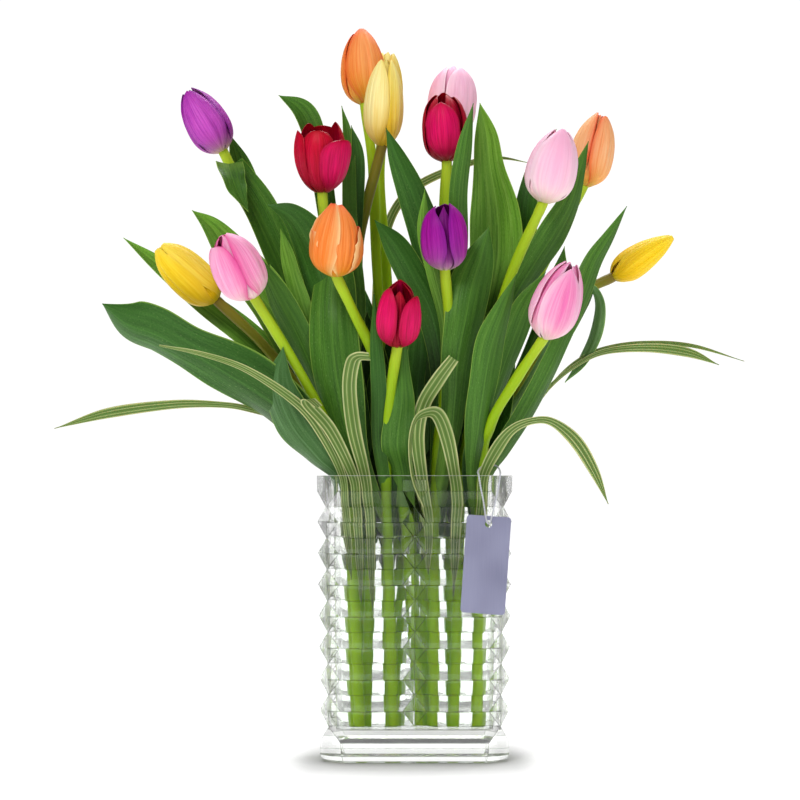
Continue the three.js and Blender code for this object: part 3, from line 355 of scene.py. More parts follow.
    Tulip("yellow_right", "petal_yellow", "bud", "yellow", 0.1, 4, "brown", (45, 8), 11, (185, 371, 0.12),
          [(46, 196, 0.4), (69, 254, 0.3), (105, 312, 0.22), (125, 333, 0.18), (142, 342, 0.15)], [
        ("pale", 225, [(79, 257, 0.05, 5), (104, 297, 0, 7), (119, 322, -0.05, 6), (126, 332, -0.08, 4),
         (130, 320, -0.1, 6.5), (127, 300, -0.12, 8.5), (118, 282, -0.12, 7.5), (107, 266, -0.12, 0)]),
        ("mid", 215, [(80, 276, 0.42, 6.5), (95, 313, 0.42, 7), (105, 343, 0.4, 6.5), (109, 366, 0.38, 0)]),
    ], None, (165, (72, 2, 284), 11, "deep"), [
        (0, 4.6, 0.97, 54), (120, 4.6, 0.97, 56), (-120, 4.6, 0.97, 56), (-138, 1.8, 0.97, 62, 0, 0.8),
        (102, 0.2, 0.98, 62, 0, 0.8), (-18, -1.5, 1, 62, 0, 0.6),
    ]),
    Tulip("pink_right_lower", "petal_pink", "egg", "pink", 0.4, 4, "green", (43, -13), 16.5,
          (106, 345, -1.2),
          [(47, 196, -0.66), (53, 235, -0.85), (70, 266, -1.05), (89, 295, -1.15)], [
        ("mid", 160, [(41, 198, -0.8, 4), (44, 232, -1, 8.5), (48, 261, -1.02, 10.5), (53, 290, -0.97, 11),
         (61, 314, -0.92, 7), (70, 339, -0.87, 0)]),
        ("mid", 165, [(51, 198, -0.42, 4.5), (62, 218, -0.48, 7), (77, 242, -0.55, 8), (92, 270, -0.6, 8),
         (105, 298, -0.58, 7), (117, 327, -0.5, 8), (126, 350, -0.42, 7), (137, 368, -0.38, 4.5),
         (149, 389, -0.35, 0)]),
    ], (150, -6, 8), None, [
        (62, 3.3, 1, 52, 0.02, 0.8), (-60, 3.1, 0.97, 50, 0.04, 0.9), (180, 3.1, 0.98, 58),
        (112, 0, 0.98, 56, 0.02, 0.8), (-115, 0, 0.98, 58, 0.05, 0.9), (-16, -1.5, 0.95, 52, 0, 1.25),
    ]),
]

# Grass blades: how far the foot goes below the first spot, then x, y, z and half width
GRASS = [
    (40, [(-47, -27.8, 165, 2.4), (-48.7, -28, 182, 2.5), (-50.6, -27.6, 200, 2.6), (-63, -42, 227, 3.6),
         (-80, -56, 249, 3.4), (-114, -66, 272, 2.4), (-145, -70, 283, 1.7), (-175, -72, 289, 0.5)]),
    (55, [(-39.5, -27.8, 165, 3), (-40.8, -28, 182, 3.2), (-43.2, -28.2, 200, 3.5), (-58, -48, 231, 4.5),
         (-73, -63, 249, 4.5), (-72, -69, 252, 4.5), (-66, -73, 247, 4)]),
    (62, [(-31, -27.8, 165, 3), (-32.5, -28, 182, 3.5), (-34.8, -28.2, 200, 3.8), (-42, -46, 231, 5),
         (-45, -62, 259, 5), (-43, -70, 276, 5), (-39, -75, 281, 4.5), (-31, -77, 281, 4)]),
    (30, [(-50, -8, 165, 2), (-51.5, -8, 182, 2.5), (-52.8, -8, 200, 3), (-69, -10, 221, 3),
         (-92, -13, 239, 2.5), (-117, -16, 247, 2.2), (-138, -18, 250, 2.2), (-170, -20, 250, 3.2),
         (-215, -22, 244, 3.7), (-253, -24, 233, 0)]),
    (48, [(29, -27.8, 165, 3.5), (30, -28, 182, 4), (28, -28.2, 200, 4), (23, -40, 225, 5),
         (16, -49, 242, 5), (7, -56, 243, 5), (0, -60, 237, 5), (-3, -61, 221, 5), (-1, -57, 198, 3.5),
         (6, -52, 178, 0)]),
    (36, [(10, -27.8, 165, 3), (8, -28, 182, 3.5), (5, -28.2, 200, 4), (2, -37, 228, 5), (6, -42, 249, 5),
         (16, -46, 266, 5), (27, -50, 281, 4)]),
    (30, [(45.5, -27.8, 165, 3), (47, -28, 182, 3.4), (48.4, -28, 200, 3.6), (57.5, -38, 219, 4.4),
         (68, -42, 232, 3.3), (82, -43, 238, 2.5), (96, -42, 237, 3), (112, -40, 224, 4.6),
         (125, -38, 203, 3.6), (135, -36, 180, 0)]),
    (44, [(50, -6, 165, 1.6), (51, -6, 182, 1.6), (53, -8, 200, 1.6), (65, -10, 220, 1.6),
         (80, -11, 243, 1.5), (96, -13, 263, 1.4), (113, -14, 277, 1.4), (133, -16, 287, 2),
         (162, -17, 290, 3), (192, -17, 287, 3.4), (215, -17, 278, 0)]),
    (30, [(51.5, 4, 165, 1.5), (52.5, 4, 182, 1.5), (54, 3, 200, 1.3), (69, 1, 221, 1.3),
         (83, -2, 245, 1.2), (99, -5, 266, 1.1), (115, -7, 281, 1.1), (134, -8, 290, 1.3),
         (162, -8, 294, 1.5), (197, -8, 292, 1.4), (234, -8, 281, 0)]),
    (38, [(-13, 27.8, 165, 3), (-14, 28, 182, 3.5), (-15, 28.2, 200, 4), (-22, 48, 248, 4),
         (-27, 68, 308, 4), (-25, 86, 361, 4), (-16, 96, 396, 3.5), (1, 102, 417, 3.5), (31, 105, 432, 3),
         (62, 106, 440, 1.5), (89, 106, 436, 0)]),
]


# Curves, grids and meshes

def place(spot):
    """x, y and z of a spot given as x, z and a share of the bunch's depth there."""
    x, z, share = spot[:3]
    return [x, share * (MOUTH_DEPTH + FAN * max(0.0, z - VASE_HEIGHT)), z]


def along(points, t):
    """Points at the shares t of a uniform Catmull-Rom curve with mirrored ends."""
    points = np.asarray(points, float)
    t = np.atleast_1d(np.asarray(t, float))
    last = len(points) - 1
    row = np.vstack([2 * points[0] - points[1], points, 2 * points[-1] - points[-2]])
    i = np.minimum(np.floor(t * last).astype(int), last - 1)
    f = (t * last - i)[:, None]
    a, b, c, d = row[i], row[i + 1], row[i + 2], row[i + 3]
    return b + 0.5 * f * (c - a + f * (2 * a - 5 * b + 4 * c - d + f * (3 * (b - c) + d - a)))


def unit(vectors):
    return vectors / np.maximum(np.linalg.norm(vectors, axis=-1, keepdims=True), 1e-9)


def frames_along(points, shares, face, end_axis=None):
    """Centres, sides and normals along a curve: the side starts level with face and turns little."""
    centres = along(points, shares)
    tangents = unit(np.gradient(centres, axis=0))
    if end_axis is not None:
        tangents[-1] = end_axis
    sides = np.zeros_like(centres)
    side = np.cross(tangents[0], face)
    for k, tangent in enumerate(tangents):
        side = side - np.dot(side, tangent) * tangent
        side = side / np.linalg.norm(side)
        sides[k] = side
    return centres, sides, np.cross(sides, tangents)


def blade_mesh(frames, half, s, rise, thick):
    """A thin blade along a curve. s goes across it, and rise lifts it by a share of its half width."""
    centres, sides, normals = frames
    reach = np.maximum(half, TIP_HALF)[:, None]
    grid = (centres[:, None] + sides[:, None] * (s * reach)[..., None]
            + normals[:, None] * (rise * reach)[..., None])
    return sheet_mesh(grid, thick)


def quad_strip(first, second, count):
    """Faces between two rings of points, which start at first and second."""
    return [(first + j, first + (j + 1) % count, second + (j + 1) % count, second + j) for j in range(count)]


def sheet_mesh(grid, thick):
    """Points, faces and UVs of a closed thin sheet about a grid of points."""
    rows, cols = grid.shape[:2]
    normal = unit(np.cross(np.gradient(grid, axis=1), np.gradient(grid, axis=0)))
    half = np.broadcast_to(np.asarray(thick), (rows, cols))[..., None] / 2
    points = np.concatenate([(grid + normal * half).reshape(-1, 3), (grid - normal * half).reshape(-1, 3)])
    u, v = np.meshgrid(np.linspace(0, 1, cols), np.linspace(0, 1, rows))
    uv = np.stack([u.ravel(), v.ravel()], axis=1)
    top, back = np.arange(2 * rows * cols).reshape(2, rows, cols)
    faces = []
    for corners in (
        (top[:-1, :-1], top[:-1, 1:], top[1:, 1:], top[1:, :-1]),
        (back[:-1, :-1], back[1:, :-1], back[1:, 1:], back[:-1, 1:]),
        (top[0, :-1], back[0, :-1], back[0, 1:], top[0, 1:]),
        (top[-1, 1:], back[-1, 1:], back[-1, :-1], top[-1, :-1]),
        (top[1:, 0], back[1:, 0], back[:-1, 0], top[:-1, 0]),
        (top[:-1, -1], back[:-1, -1], back[1:, -1], top[1:, -1]),
    ):
        faces += np.stack([corner.ravel() for corner in corners], axis=1).tolist()
    return points, faces, np.concatenate([uv, uv])


def loft(rings):
    """Points and faces of a closed body through rings, the lowest first."""
    count = len(rings[0])
    last = (len(rings) - 1) * count
    faces = [tuple(range(count))[::-1]]
    for start in range(0, last, count):
        faces += quad_strip(start, start + count, count)
    faces.append(tuple(range(last, last + count)))
    return [point for ring in rings for point in ring], faces


def tube_mesh(centres, sides, normals, radii, count):
    """Points, faces and UVs of a closed tube."""
    angle = np.linspace(0, 2 * math.pi, count, endpoint=False)
    ring = np.cos(angle)[None, :, None] * sides[:, None] - np.sin(angle)[None, :, None] * normals[:, None]
    points = centres[:, None] + ring * np.asarray(radii)[:, None, None]
    _, faces = loft([range(count)] * len(centres))
    u, v = np.meshgrid(np.arange(count) / count, np.linspace(0, 1, len(centres)))
    return points.reshape(-1, 3), faces, np.stack([u.ravel(), v.ravel()], axis=1)


def joined(parts):
    """One mesh's points, faces and UVs out of several."""
    points, faces, uvs = [], [], []
    start = 0
    for part_points, part_faces, part_uv in parts:
        points.append(part_points)
        uvs.append(part_uv)
        faces += [tuple(start + k for k in face) for face in part_faces]
        start += len(part_points)
    return np.concatenate(points), faces, np.concatenate(uvs)


def rounded(w, d, radius, steps, first):
    """A rectangle with rounded corners, counter-clockwise from the direction first in degrees."""
    points = []
    for start in range(first, first + 360, 90):
        middle = math.radians(start + 45)
        x = math.copysign(w - radius, math.cos(middle))
        y = math.copysign(d - radius, math.sin(middle))
        for k in range(steps + 1):
            angle = math.radians(start + 90 * k / steps)
            points.append((x + radius * math.cos(angle), y + radius * math.sin(angle)))
    return points


def linked(name, data):
    """A new object in the scene."""
    thing = bpy.data.objects.new(name, data)
    bpy.context.scene.collection.objects.link(thing)
    return thing


def new_mesh(name, points, faces):
    """A mesh of points in millimetres."""
    mesh = bpy.data.meshes.new(name)
    mesh.from_pydata((np.asarray(points, float) * MM).tolist(), [], faces)
    return mesh


def smooth(mesh, sharp):
    mesh.shade_smooth()
    mesh.set_sharp_from_angle(angle=math.radians(sharp))


def dress(piece, node):
    """Lets a piece ride on the part in the place of a node."""
    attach(piece, "root")
    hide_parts(node)


def mesh_piece(name, node, material, shape, sharp=50):
    """A new piece of a shape's points, faces and, where it has them, UVs."""
    points, faces, *uv = shape
    mesh = new_mesh(name, points, faces)
    if uv:
        layer = mesh.uv_layers.new(name="UVMap")
        corner = np.empty(len(mesh.loops), int)
        mesh.loops.foreach_get("vertex_index", corner)
        layer.data.foreach_set("uv", np.asarray(uv[0], float)[corner].ravel())
    mesh.materials.append(material)
    smooth(mesh, sharp)
    piece = linked(name, mesh)
    dress(piece, node)
    return piece


def apply_modifiers(thing):
    graph = bpy.context.evaluated_depsgraph_get()
    mesh = bpy.data.meshes.new_from_object(thing.evaluated_get(graph))
    thing.modifiers.clear()
    thing.data = mesh


# Shader nodes

def linear(colour):
    """A colour, given as six hexadecimal digits, one grey number or three, as linear numbers."""
    if isinstance(colour, str):
        parts = [int(colour[k:k + 2], 16) / 255 for k in (0, 2, 4)]
        return tuple(p / 12.92 if p <= 0.04045 else ((p + 0.055) / 1.055) ** 2.4 for p in parts)
    return colour if isinstance(colour, tuple) else (colour,) * 3


class Value:
    """The output of a node, to reckon with: each step adds a Math node."""

    def __init__(self, nodes, socket):
        self.nodes = nodes
        self.socket = socket

    def step(operation, swapped=False):
        def take(self, *others):
            values = (*others, self) if swapped else (self, *others)
            return self.nodes.math(operation, *values)
        return take

    __add__ = step("ADD")
    __sub__ = step("SUBTRACT")
    __rsub__ = step("SUBTRACT", swapped=True)
    __mul__ = step("MULTIPLY")
    __pow__ = step("POWER")
    __abs__ = step("ABSOLUTE")
    at_least = step("MAXIMUM")
    at_most = step("MINIMUM")


class Nodes:
    """A short way to add and link the nodes of a tree."""

    def __init__(self, tree):
        self.tree = tree

    def add(self, kind, **values):
        node = self.tree.nodes.new(kind)
        for key, value in values.items():
            setattr(node, key, value)
        return node

    def feed(self, socket, value):
        """Gives a socket a value: linked from a node, or set."""
        if isinstance(value, Value):
            self.tree.links.new(value.socket, socket)
        else:
            socket.default_value = value

    def math(self, operation, *values):
        node = self.add("ShaderNodeMath", operation=operation)
        for slot, value in enumerate(values):
            self.feed(node.inputs[slot], value)
        return Value(self, node.outputs[0])

    def ramp(self, factor, stops, smooth=True):
        node = self.add("ShaderNodeValToRGB")
        node.color_ramp.interpolation = "B_SPLINE" if smooth else "LINEAR"
        elements = node.color_ramp.elements
        while len(elements) < len(stops):
            elements.new(0.5)
        for element, (position, colour) in zip(elements, stops):
            element.position = position
            element.color = (*linear(colour), 1)
        self.feed(node.inputs[0], factor)
        return Value(self, node.outputs[0])

    def spread(self, value, low, high, bottom=0, top=1, kind="LINEAR"):
        """A value that goes from bottom to top while another goes from low to high."""
        node = self.add("ShaderNodeMapRange", interpolation_type=kind)
        for slot, number in enumerate((value, low, high, bottom, top)):
            self.feed(node.inputs[slot], number)
        return Value(self, node.outputs["Result"])

    def mix(self, factor, a, b, blend="MIX"):
        node = self.add("ShaderNodeMix", data_type="RGBA", blend_type=blend)
        self.feed(node.inputs[0], factor)
        for slot, value in ((6, a), (7, b)):
            self.feed(node.inputs[slot], value if isinstance(value, Value) else (*linear(value), 1))
        return Value(self, node.outputs[2])

    def parts(self, vector):
        """x, y and z of a vector."""
        node = self.add("ShaderNodeSeparateXYZ")
        self.feed(node.inputs[0], vector)
        return [Value(self, output) for output in node.outputs]

    def place(self):
        """The place on the object in metres."""
        return Value(self, self.add("ShaderNodeTexCoord").outputs["Object"])


class Material(Nodes):
    """The nodes of a new material."""

    def __init__(self, name):
        self.material = bpy.data.materials.new(name)
        self.material.use_nodes = True
        super().__init__(self.material.node_tree)
        self.shader = self.tree.nodes["Principled BSDF"]

    def noise(self, vector, scale, detail=3.0, rough=0.55):
        node = self.add("ShaderNodeTexNoise")
        for key, value in (("Vector", vector), ("Scale", scale), ("Detail", detail), ("Roughness", rough)):
            self.feed(node.inputs[key], value)
        return Value(self, node.outputs["Fac"])

    def grain(self, vector, scale, detail=3.0, rough=0.55):
        """Noise with a scale for each direction, such as across and along a petal."""
        node = self.add("ShaderNodeMapping")
        self.feed(node.inputs["Scale"], (*scale, 1)[:3])
        self.feed(node.inputs["Vector"], vector)
        return self.noise(Value(self, node.outputs[0]), 1.0, detail, rough)

    def uv(self):
        """The UV vector and its two parts: across and along."""
        vector = Value(self, self.add("ShaderNodeUVMap", uv_map="UVMap").outputs[0])
        return vector, *self.parts(vector)[:2]

    def flank(self):
        """0 over the vase's front and back, 1 in its flanks."""
        return self.spread(abs(self.parts(self.place())[0]), low=0.05, high=0.06, kind="SMOOTHSTEP")

    def bump(self, height, strength, distance):
        node = self.add("ShaderNodeBump")
        for key, value in (("Strength", strength), ("Distance", distance), ("Height", height)):
            self.feed(node.inputs[key], value)
        self.set(Normal=Value(self, node.outputs[0]))

    def paint(self, colour, layers=()):
        """The base colour, with layers of a share and a colour laid over it."""
        for share, tint in layers:
            colour = self.mix(share, colour, tint)
        self.set(Base_Color=colour)

    def set(self, **values):
        for key, value in values.items():
            self.feed(self.shader.inputs[key.replace("_", " ")], value)


# Materials

def petal_material(name, stops, heart, edge, streak, bright, dark, shares, shadow, rim_power=4.0):
    """Silky petal: colours from foot to tip, others in its heart, at its edges and in bands and streaks.
    The heart colour is partly the petal's own, partly a painted highlight. The whole number in u says
    whether the petal keeps these (0), gets a painted lit tone (1) or a painted shaded tone (2)."""
    n = Material(name)
    vector, wide, up = n.uv()
    tone = n.math("FLOOR", wide)
    heart_share, edge_share, streak_share = shares
    fine = n.grain(vector, (30, 1.1), detail=5, rough=0.68)
    broad = n.grain(vector, (8, 0.8), detail=2, rough=0.5)
    ribs = n.grain(vector, (26, 1.0), detail=1)
    off = n.math("MULTIPLY_ADD", broad - 0.5, 0.45, abs(wide - tone - 0.5) * 2.0)
    inner = (1.0 - off * 1.5).at_least(0.0) * (up * (1.0 - up) * 4.0)
    calm = 1.0 - up ** 4.0
    above = (up * 2.6).at_most(1.0) * calm
    n.paint(n.ramp(up, stops), [
        # heart: the petal's own colour in its middle, partly a painted highlight
        (inner * heart_share, heart),
        # Painted light and shade: chosen petals get a lit tone, others, mostly inner ones, a shaded tone
        (n.math("COMPARE", tone, 1.0, 0.1) * LIT_TONE_SHARE * above, bright),
        (n.math("COMPARE", tone, 2.0, 0.1) * SHADED_TONE_SHARE * above, dark),
        (n.ramp(broad, [(0.5, 0), (0.66, 0.7 * streak_share)]) * above, streak),
        (n.ramp(broad, [(0.34, 0.5), (0.5, 0)]), shadow),
        (n.ramp(fine, [(0.49, 0), (0.62, 1)]) * streak_share * above, streak),
        (n.ramp(fine, [(0.37, 0.6), (0.5, 0)]) * calm, shadow),
        (off.at_least(0.0).at_most(1.0) ** rim_power * edge_share, edge),
    ])
    n.bump(n.math("MULTIPLY_ADD", broad, 2.0, ribs) * calm, strength=0.5, distance=0.0008)
    n.set(Roughness=0.46, Specular_IOR_Level=0.12, Subsurface_Weight=0.12, Subsurface_Scale=0.002,
          Subsurface_Radius=(1.0, 0.6, 0.5))
    return n.material


def leaf_material(name, foot, shade, body, tip, vein_and_sheen):
    """Waxy tulip leaf: pale and dark bands and veins along it, dark blotches and specks, pale rims.
    Painted shade low in the bunch and on one half, painted sheen in the pale bands.
    """
    n = Material(name)
    vector, across, up = n.uv()
    calm = 1.0 - up ** 5.0
    off = abs(across - 0.5)
    bands = n.grain(vector, (5, 1.2), detail=3, rough=0.6)
    fine = n.grain(vector, (44, 2.2), detail=5, rough=0.65)
    blotches = n.grain(vector, (16, 7), detail=5, rough=0.72)
    specks = n.grain(vector, (60, 130), detail=1)
    ribs = n.grain(vector, (40, 2.0), detail=1)
    # Painted shade: the shade colour darkens each leaf where it passes low through the bunch
    stops = [(0, foot), (0.07, foot), (0.16, shade), (0.3, shade), (0.48, body), (0.85, body), (1, tip)]
    n.paint(n.ramp(up, stops), [
        # Pale bands in the vein colour: partly veins, partly a painted sheen
        (n.ramp(bands, [(0.46, 0), (0.64, 0.75)]), vein_and_sheen),
        (n.ramp(bands, [(0.34, 0.5), (0.48, 0)]), "173a08"),
        (n.ramp(fine, [(0.47, 0), (0.62, 1)]) * (calm * 0.45), vein_and_sheen),
        (n.ramp(fine, [(0.36, 1), (0.48, 0)]) * (calm * 0.4), "1c420c"),
        (n.ramp(blotches, [(0.53, 0), (0.62, 1)]) * 0.5, "1a3e0a"),
        (n.ramp(specks, [(0.68, 0), (0.74, 1)]) * 0.5, "102a08"),
        (n.ramp(specks, [(0.24, 1), (0.29, 0)]) * 0.6, "93b36a"),
        # Painted shade: one half of the leaf darker, as a folded leaf turns one flank from the light
        (n.ramp(across, [(0.47, 0), (0.53, 0.32)]), "1c420a"),
        ((1.0 - (off * 30.0).at_most(1.0)) * 0.4, vein_and_sheen),
        (((off - 0.475).at_least(0.0) * 24.0).at_most(0.6), "9dbd4e"),
    ])
    n.bump(n.math("MULTIPLY_ADD", bands, 2.0, ribs) * calm, strength=0.45, distance=0.0006)
    n.set(Roughness=0.42, Specular_IOR_Level=0.16, Subsurface_Weight=0.06, Subsurface_Scale=0.002,
          Subsurface_Radius=(0.5, 1.0, 0.2))
    return n.material


def stalk_material(name, foot, dim, body, top):
    """Soft juicy stalk: painted light brightens it in the water, painted shade dims it in the vase's mouth.
    """
    n = Material(name)
    vector, _, up = n.uv()
    fine = n.grain(vector, (26, 9), detail=4)
    # Painted light and shade by height: the foot colour brightened in the water, dim in the vase's mouth
    stops = [(0, foot), (0.28, foot), (0.38, dim), (0.5, dim), (0.57, body), (1, body)]
    base = n.ramp(n.spread(n.parts(n.place())[2], low=0, high=0.4), stops)
    base = n.mix(n.ramp(up, [(0.78, 0), (1, 1)]), base, top)
    n.paint(n.mix(fine * 0.5, base, "e2ea70", "OVERLAY"))
    n.bump(fine, strength=0.25, distance=0.0004)
    n.set(Roughness=0.4, Specular_IOR_Level=0.15, Subsurface_Weight=0.1, Subsurface_Scale=0.003)
    return n.material


def grass_material():
    """Cream margins and a green middle with thin cream lines."""
    n = Material("striped_grass")
    vector, across, up = n.uv()
    wobble = n.grain(vector, (3, 5), detail=2)
    fine = n.grain(vector, (40, 2), detail=3)
    clouds = n.noise(n.place(), scale=30, detail=3)
    cream, green, deep = "c9cc90", "68843c", "32561a"
    stops = [(0, cream), (0.07, cream), (0.12, deep), (0.28, green), (0.32, cream), (0.36, green),
             (0.5, deep), (0.6, green), (0.65, cream), (0.69, deep), (0.84, green), (0.93, cream),
             (1, cream)]
    shifted = n.math("MULTIPLY_ADD", wobble - 0.5, 0.08, across)
    n.paint(n.ramp(shifted, stops, smooth=False), [
        (fine * 0.3, "94a568"),
        (n.ramp(clouds, [(0.4, 0), (0.65, 0.5)]), "56752c"),
    ])
    n.bump(fine * (1.0 - up ** 3.0), strength=0.25, distance=0.0003)
    n.set(Roughness=0.38, Specular_IOR_Level=0.15, Subsurface_Weight=0.1, Subsurface_Scale=0.002)
    return n.material


def glass_material():
    """Clear glass that bends what is behind it; thinner to the eye in the flanks."""
    n = Material("clear_glass")
    n.bump(n.noise(n.place(), scale=45, detail=2), strength=0.06, distance=0.0006)
    n.set(Roughness=0.0, IOR=1.46, Transmission_Weight=1.0, Specular_IOR_Level=0.12,
          Base_Color=(0.985, 0.995, 0.985, 1), Alpha=n.spread(n.flank(), 0, 1, bottom=0.88, top=0.62))
    return n.material


def glass_edge_material():
    """The rounded edges between facets, with a painted grey-green reflection, near black in the flanks."""
    n = Material("glass_edge")
    patchy = n.noise(n.place(), scale=120, detail=3)
    # Painted reflection: patchy grey green, and near black in the flanks as dark outlines
    colour = n.ramp(patchy, [(0.4, (0.05, 0.075, 0.035)), (0.64, (0.6, 0.66, 0.55))])
    n.paint(colour, [(n.ramp(n.flank(), [(0, 0), (1, 0.9)]), (0.003, 0.007, 0.002))])
    n.set(Roughness=0.05, IOR=1.46, Transmission_Weight=1.0, Alpha=0.95)
    return n.material


def glass_rim_material():
    """The polished edge round the mouth, painted pale as a highlight."""
    n = Material("glass_rim")
    patchy = n.noise(n.place(), scale=90, detail=2)
    # Painted highlight: a mostly opaque pale grey to white
    n.paint(n.ramp(patchy, [(0.36, (0.42, 0.47, 0.38)), (0.56, (0.95, 0.97, 0.93))]))
    n.set(Roughness=0.2, Transmission_Weight=0.15)
    return n.material


def water_material():
    n = Material("clear_water")
    n.bump(n.noise(n.place(), scale=60, detail=2), strength=0.03, distance=0.0005)
    n.set(Roughness=0.0, IOR=1.333, Transmission_Weight=1.0, Specular_IOR_Level=0.06,
          Base_Color=(0.97, 0.995, 0.97, 1))
    return n.material


def tag_material():
    """Satin metal-coated card, brushed along its length."""
    n = Material("satin_tag")
    brushed = n.grain(n.place(), (1500, 1500, 40), detail=4)
    broad = n.noise(n.place(), scale=30, detail=1)
    n.paint(n.ramp(broad, [(0.3, "7b7c99"), (0.6, "9697b4")]), [(brushed * 0.3, "b0b1c8")])
    n.bump(brushed, strength=0.12, distance=0.0002)
    n.set(Roughness=0.34, Metallic=0.55)
    return n.material


def string_material():
    n = Material("twisted_thread")
    fine = n.noise(n.place(), scale=2600, detail=3)
    n.paint(n.mix(fine, "9fa2ac", "e2e2e8"))
    n.bump(fine, strength=0.4, distance=0.0002)
    n.set(Roughness=0.5, Metallic=0.25)
    return n.material


# Colours of petals: stops from foot to tip, heart (own colour and painted highlight), edge, streak,
# bright (painted lit tone), dark (painted shaded tone), the shares of heart, edge and streak, shadow and,
# where it isn't 4, how narrow the edge is
PALETTES = {
    "purple": ([(0, "d8c88a"), (0.05, "b27aa0"), (0.18, "a83ba6"), (0.6, "a0149c"), (1, "8a0a90")],
        "c23cb8", "6a0880", "c85ac4", "d45cc8", "3d0250", (0.5, 0.6, 0.55), "7d0a88"),
    "plum": ([(0, "e0d4a0"), (0.05, "c08ab0"), (0.18, "a42c98"), (0.45, "96028a"), (1, "8a0084")],
        "ac0c98", "5a0274", "c030b4", "c02cac", "300040", (0.5, 0.5, 0.4), "660072"),
    "orange": ([(0, "9aa522"), (0.07, "dfa018"), (0.3, "f6992e"), (0.7, "f68a3c"), (1, "e2481a")],
        "fbb070", "de4418", "fcc080", "fcc488", "cc4a18", (0.6, 0.75, 0.55), "e8692a", 3),
    "apricot": ([(0, "9aa522"), (0.07, "eaa434"), (0.3, "f9a650"), (0.7, "f9a058"), (1, "ea5c22")],
        "fcbe84", "e84a1c", "fdcc9a", "fdcc9a", "cc4a18", (0.6, 0.85, 0.55), "ee7c38", 3.5),
    "salmon": ([(0, "a89a2a"), (0.08, "dc8410"), (0.3, "ee7a14"), (0.7, "f08230"), (0.9, "f27a3a"),
        (1, "e23c2c")],
        "f2843c", "fbe2a4", "f8ac6c", "f8a468", "b84608", (0.4, 0.85, 0.55), "d9601c", 4.5),
    "yellow": ([(0, "93960c"), (0.07, "d9ae00"), (0.4, "f8c800"), (0.75, "fad414"), (1, "fade58")],
        "fcd20a", "f6d850", "fde650", "fde468", "c99a00", (0.5, 0.4, 0.5), "e8b200"),
    "cream": ([(0, "a8940c"), (0.08, "e2ae00"), (0.28, "f4c604"), (0.48, "f6d62c"), (0.75, "f8e680"),
        (1, "f2e28a")],
        "fdf3ac", "dfac00", "fcf0a0", "fdf6c4", "c8a012", (0.7, 0.6, 0.6), "e6b81c"),
    "pink": ([(0, "ddd2b0"), (0.14, "f4dcd8"), (0.32, "f2accc"), (0.65, "f08cbc"), (1, "f5a8ce")],
        "e6489e", "f8d2e2", "f8c0d8", "e23c94", "c25d90", (0.8, 0.8, 0.55), "e06aa6"),
    "rose": ([(0, "e6dcc0"), (0.12, "f6e0e0"), (0.3, "f0a4c8"), (0.65, "ee88ba"), (1, "f3b4d0")],
        "f4b4d2", "dc2c88", "f8c4dc", "f3b0d0", "a84478", (0.6, 0.9, 0.5), "e0609e", 2.6),
    "blush": ([(0, "b9b866"), (0.07, "f3e8d4"), (0.22, "f8dce2"), (0.65, "f9c0d8"), (1, "f9b4d2")],
        "f29cc4", "fbe2ea", "f7b4d2", "fbd6e4", "d888ae", (0.5, 0.6, 0.6), "eea2c4"),
    "red": ([(0, "6e4018"), (0.04, "84061e"), (0.2, "a80330"), (0.55, "b40124"), (0.85, "bc0118"),
        (1, "98000e")],
        "d2042e", "8c0012", "dc1450", "fa0c7c", "6c000a", (0.5, 0.6, 0.5), "86001a"),
}
PETALS = {name: petal_material("petal_" + name, *look) for name, look in PALETTES.items()}

# Colours of leaves: foot, painted shade low in the bunch, body, tip and vein (also a painted sheen in pale
# bands)
LEAVES = {tone: leaf_material("leaf_" + tone, *colours.split()) for tone, colours in {
    "mid": "6d8f2c 2c5c0f 336814 3a7018 659634",
    "deep": "4c7a1e 122c07 22560e 2a6214 4b8030",
    "blue": "6d9040 24501c 33622a 3a6a2e 6a945c",
    "light": "86aa2c 3c6c10 66a622 68a82a 98c654",
    "pale": "7da050 4c7a3c 5a8a44 62924c 90b67e",
    # dark: near-black leaves that paint the shade in the heart of the bunch
    "dark": "284c10 081a04 0c2406 14300a 204812",
}.items()}

STALKS = {
    "green": stalk_material("stalk_green", "9cc60c", "6c8e10", "88a812", "a8b838"),
    "brown": stalk_material("stalk_brown", "94ba0c", "6a8010", "7a7c24", "6a4e26"),
}


# Blooms

def eased(t, table, blur=0.05):
    """A table of shares read smoothly: the mean of a few straight readings around t."""
    at, value = zip(*table)
    room = np.minimum(1, np.minimum(t, 1 - t) * 10)
    reads = [np.interp(np.clip(t + d * room, 0, 1), at, value) for d in np.linspace(-blur, blur, 9)]
    return np.mean(reads, axis=0)


def bloom_frame(tulip):
    """The bloom's base, axis, right, back and height."""
    base = np.array(place(tulip.stem[-1]), float)
    axis = np.array(place(tulip.tip), float) - base
    height = np.linalg.norm(axis)
    axis = axis / height
    right = unit(np.cross((0, -1, 0), axis))
    return base, axis, right, np.cross(right, axis), height


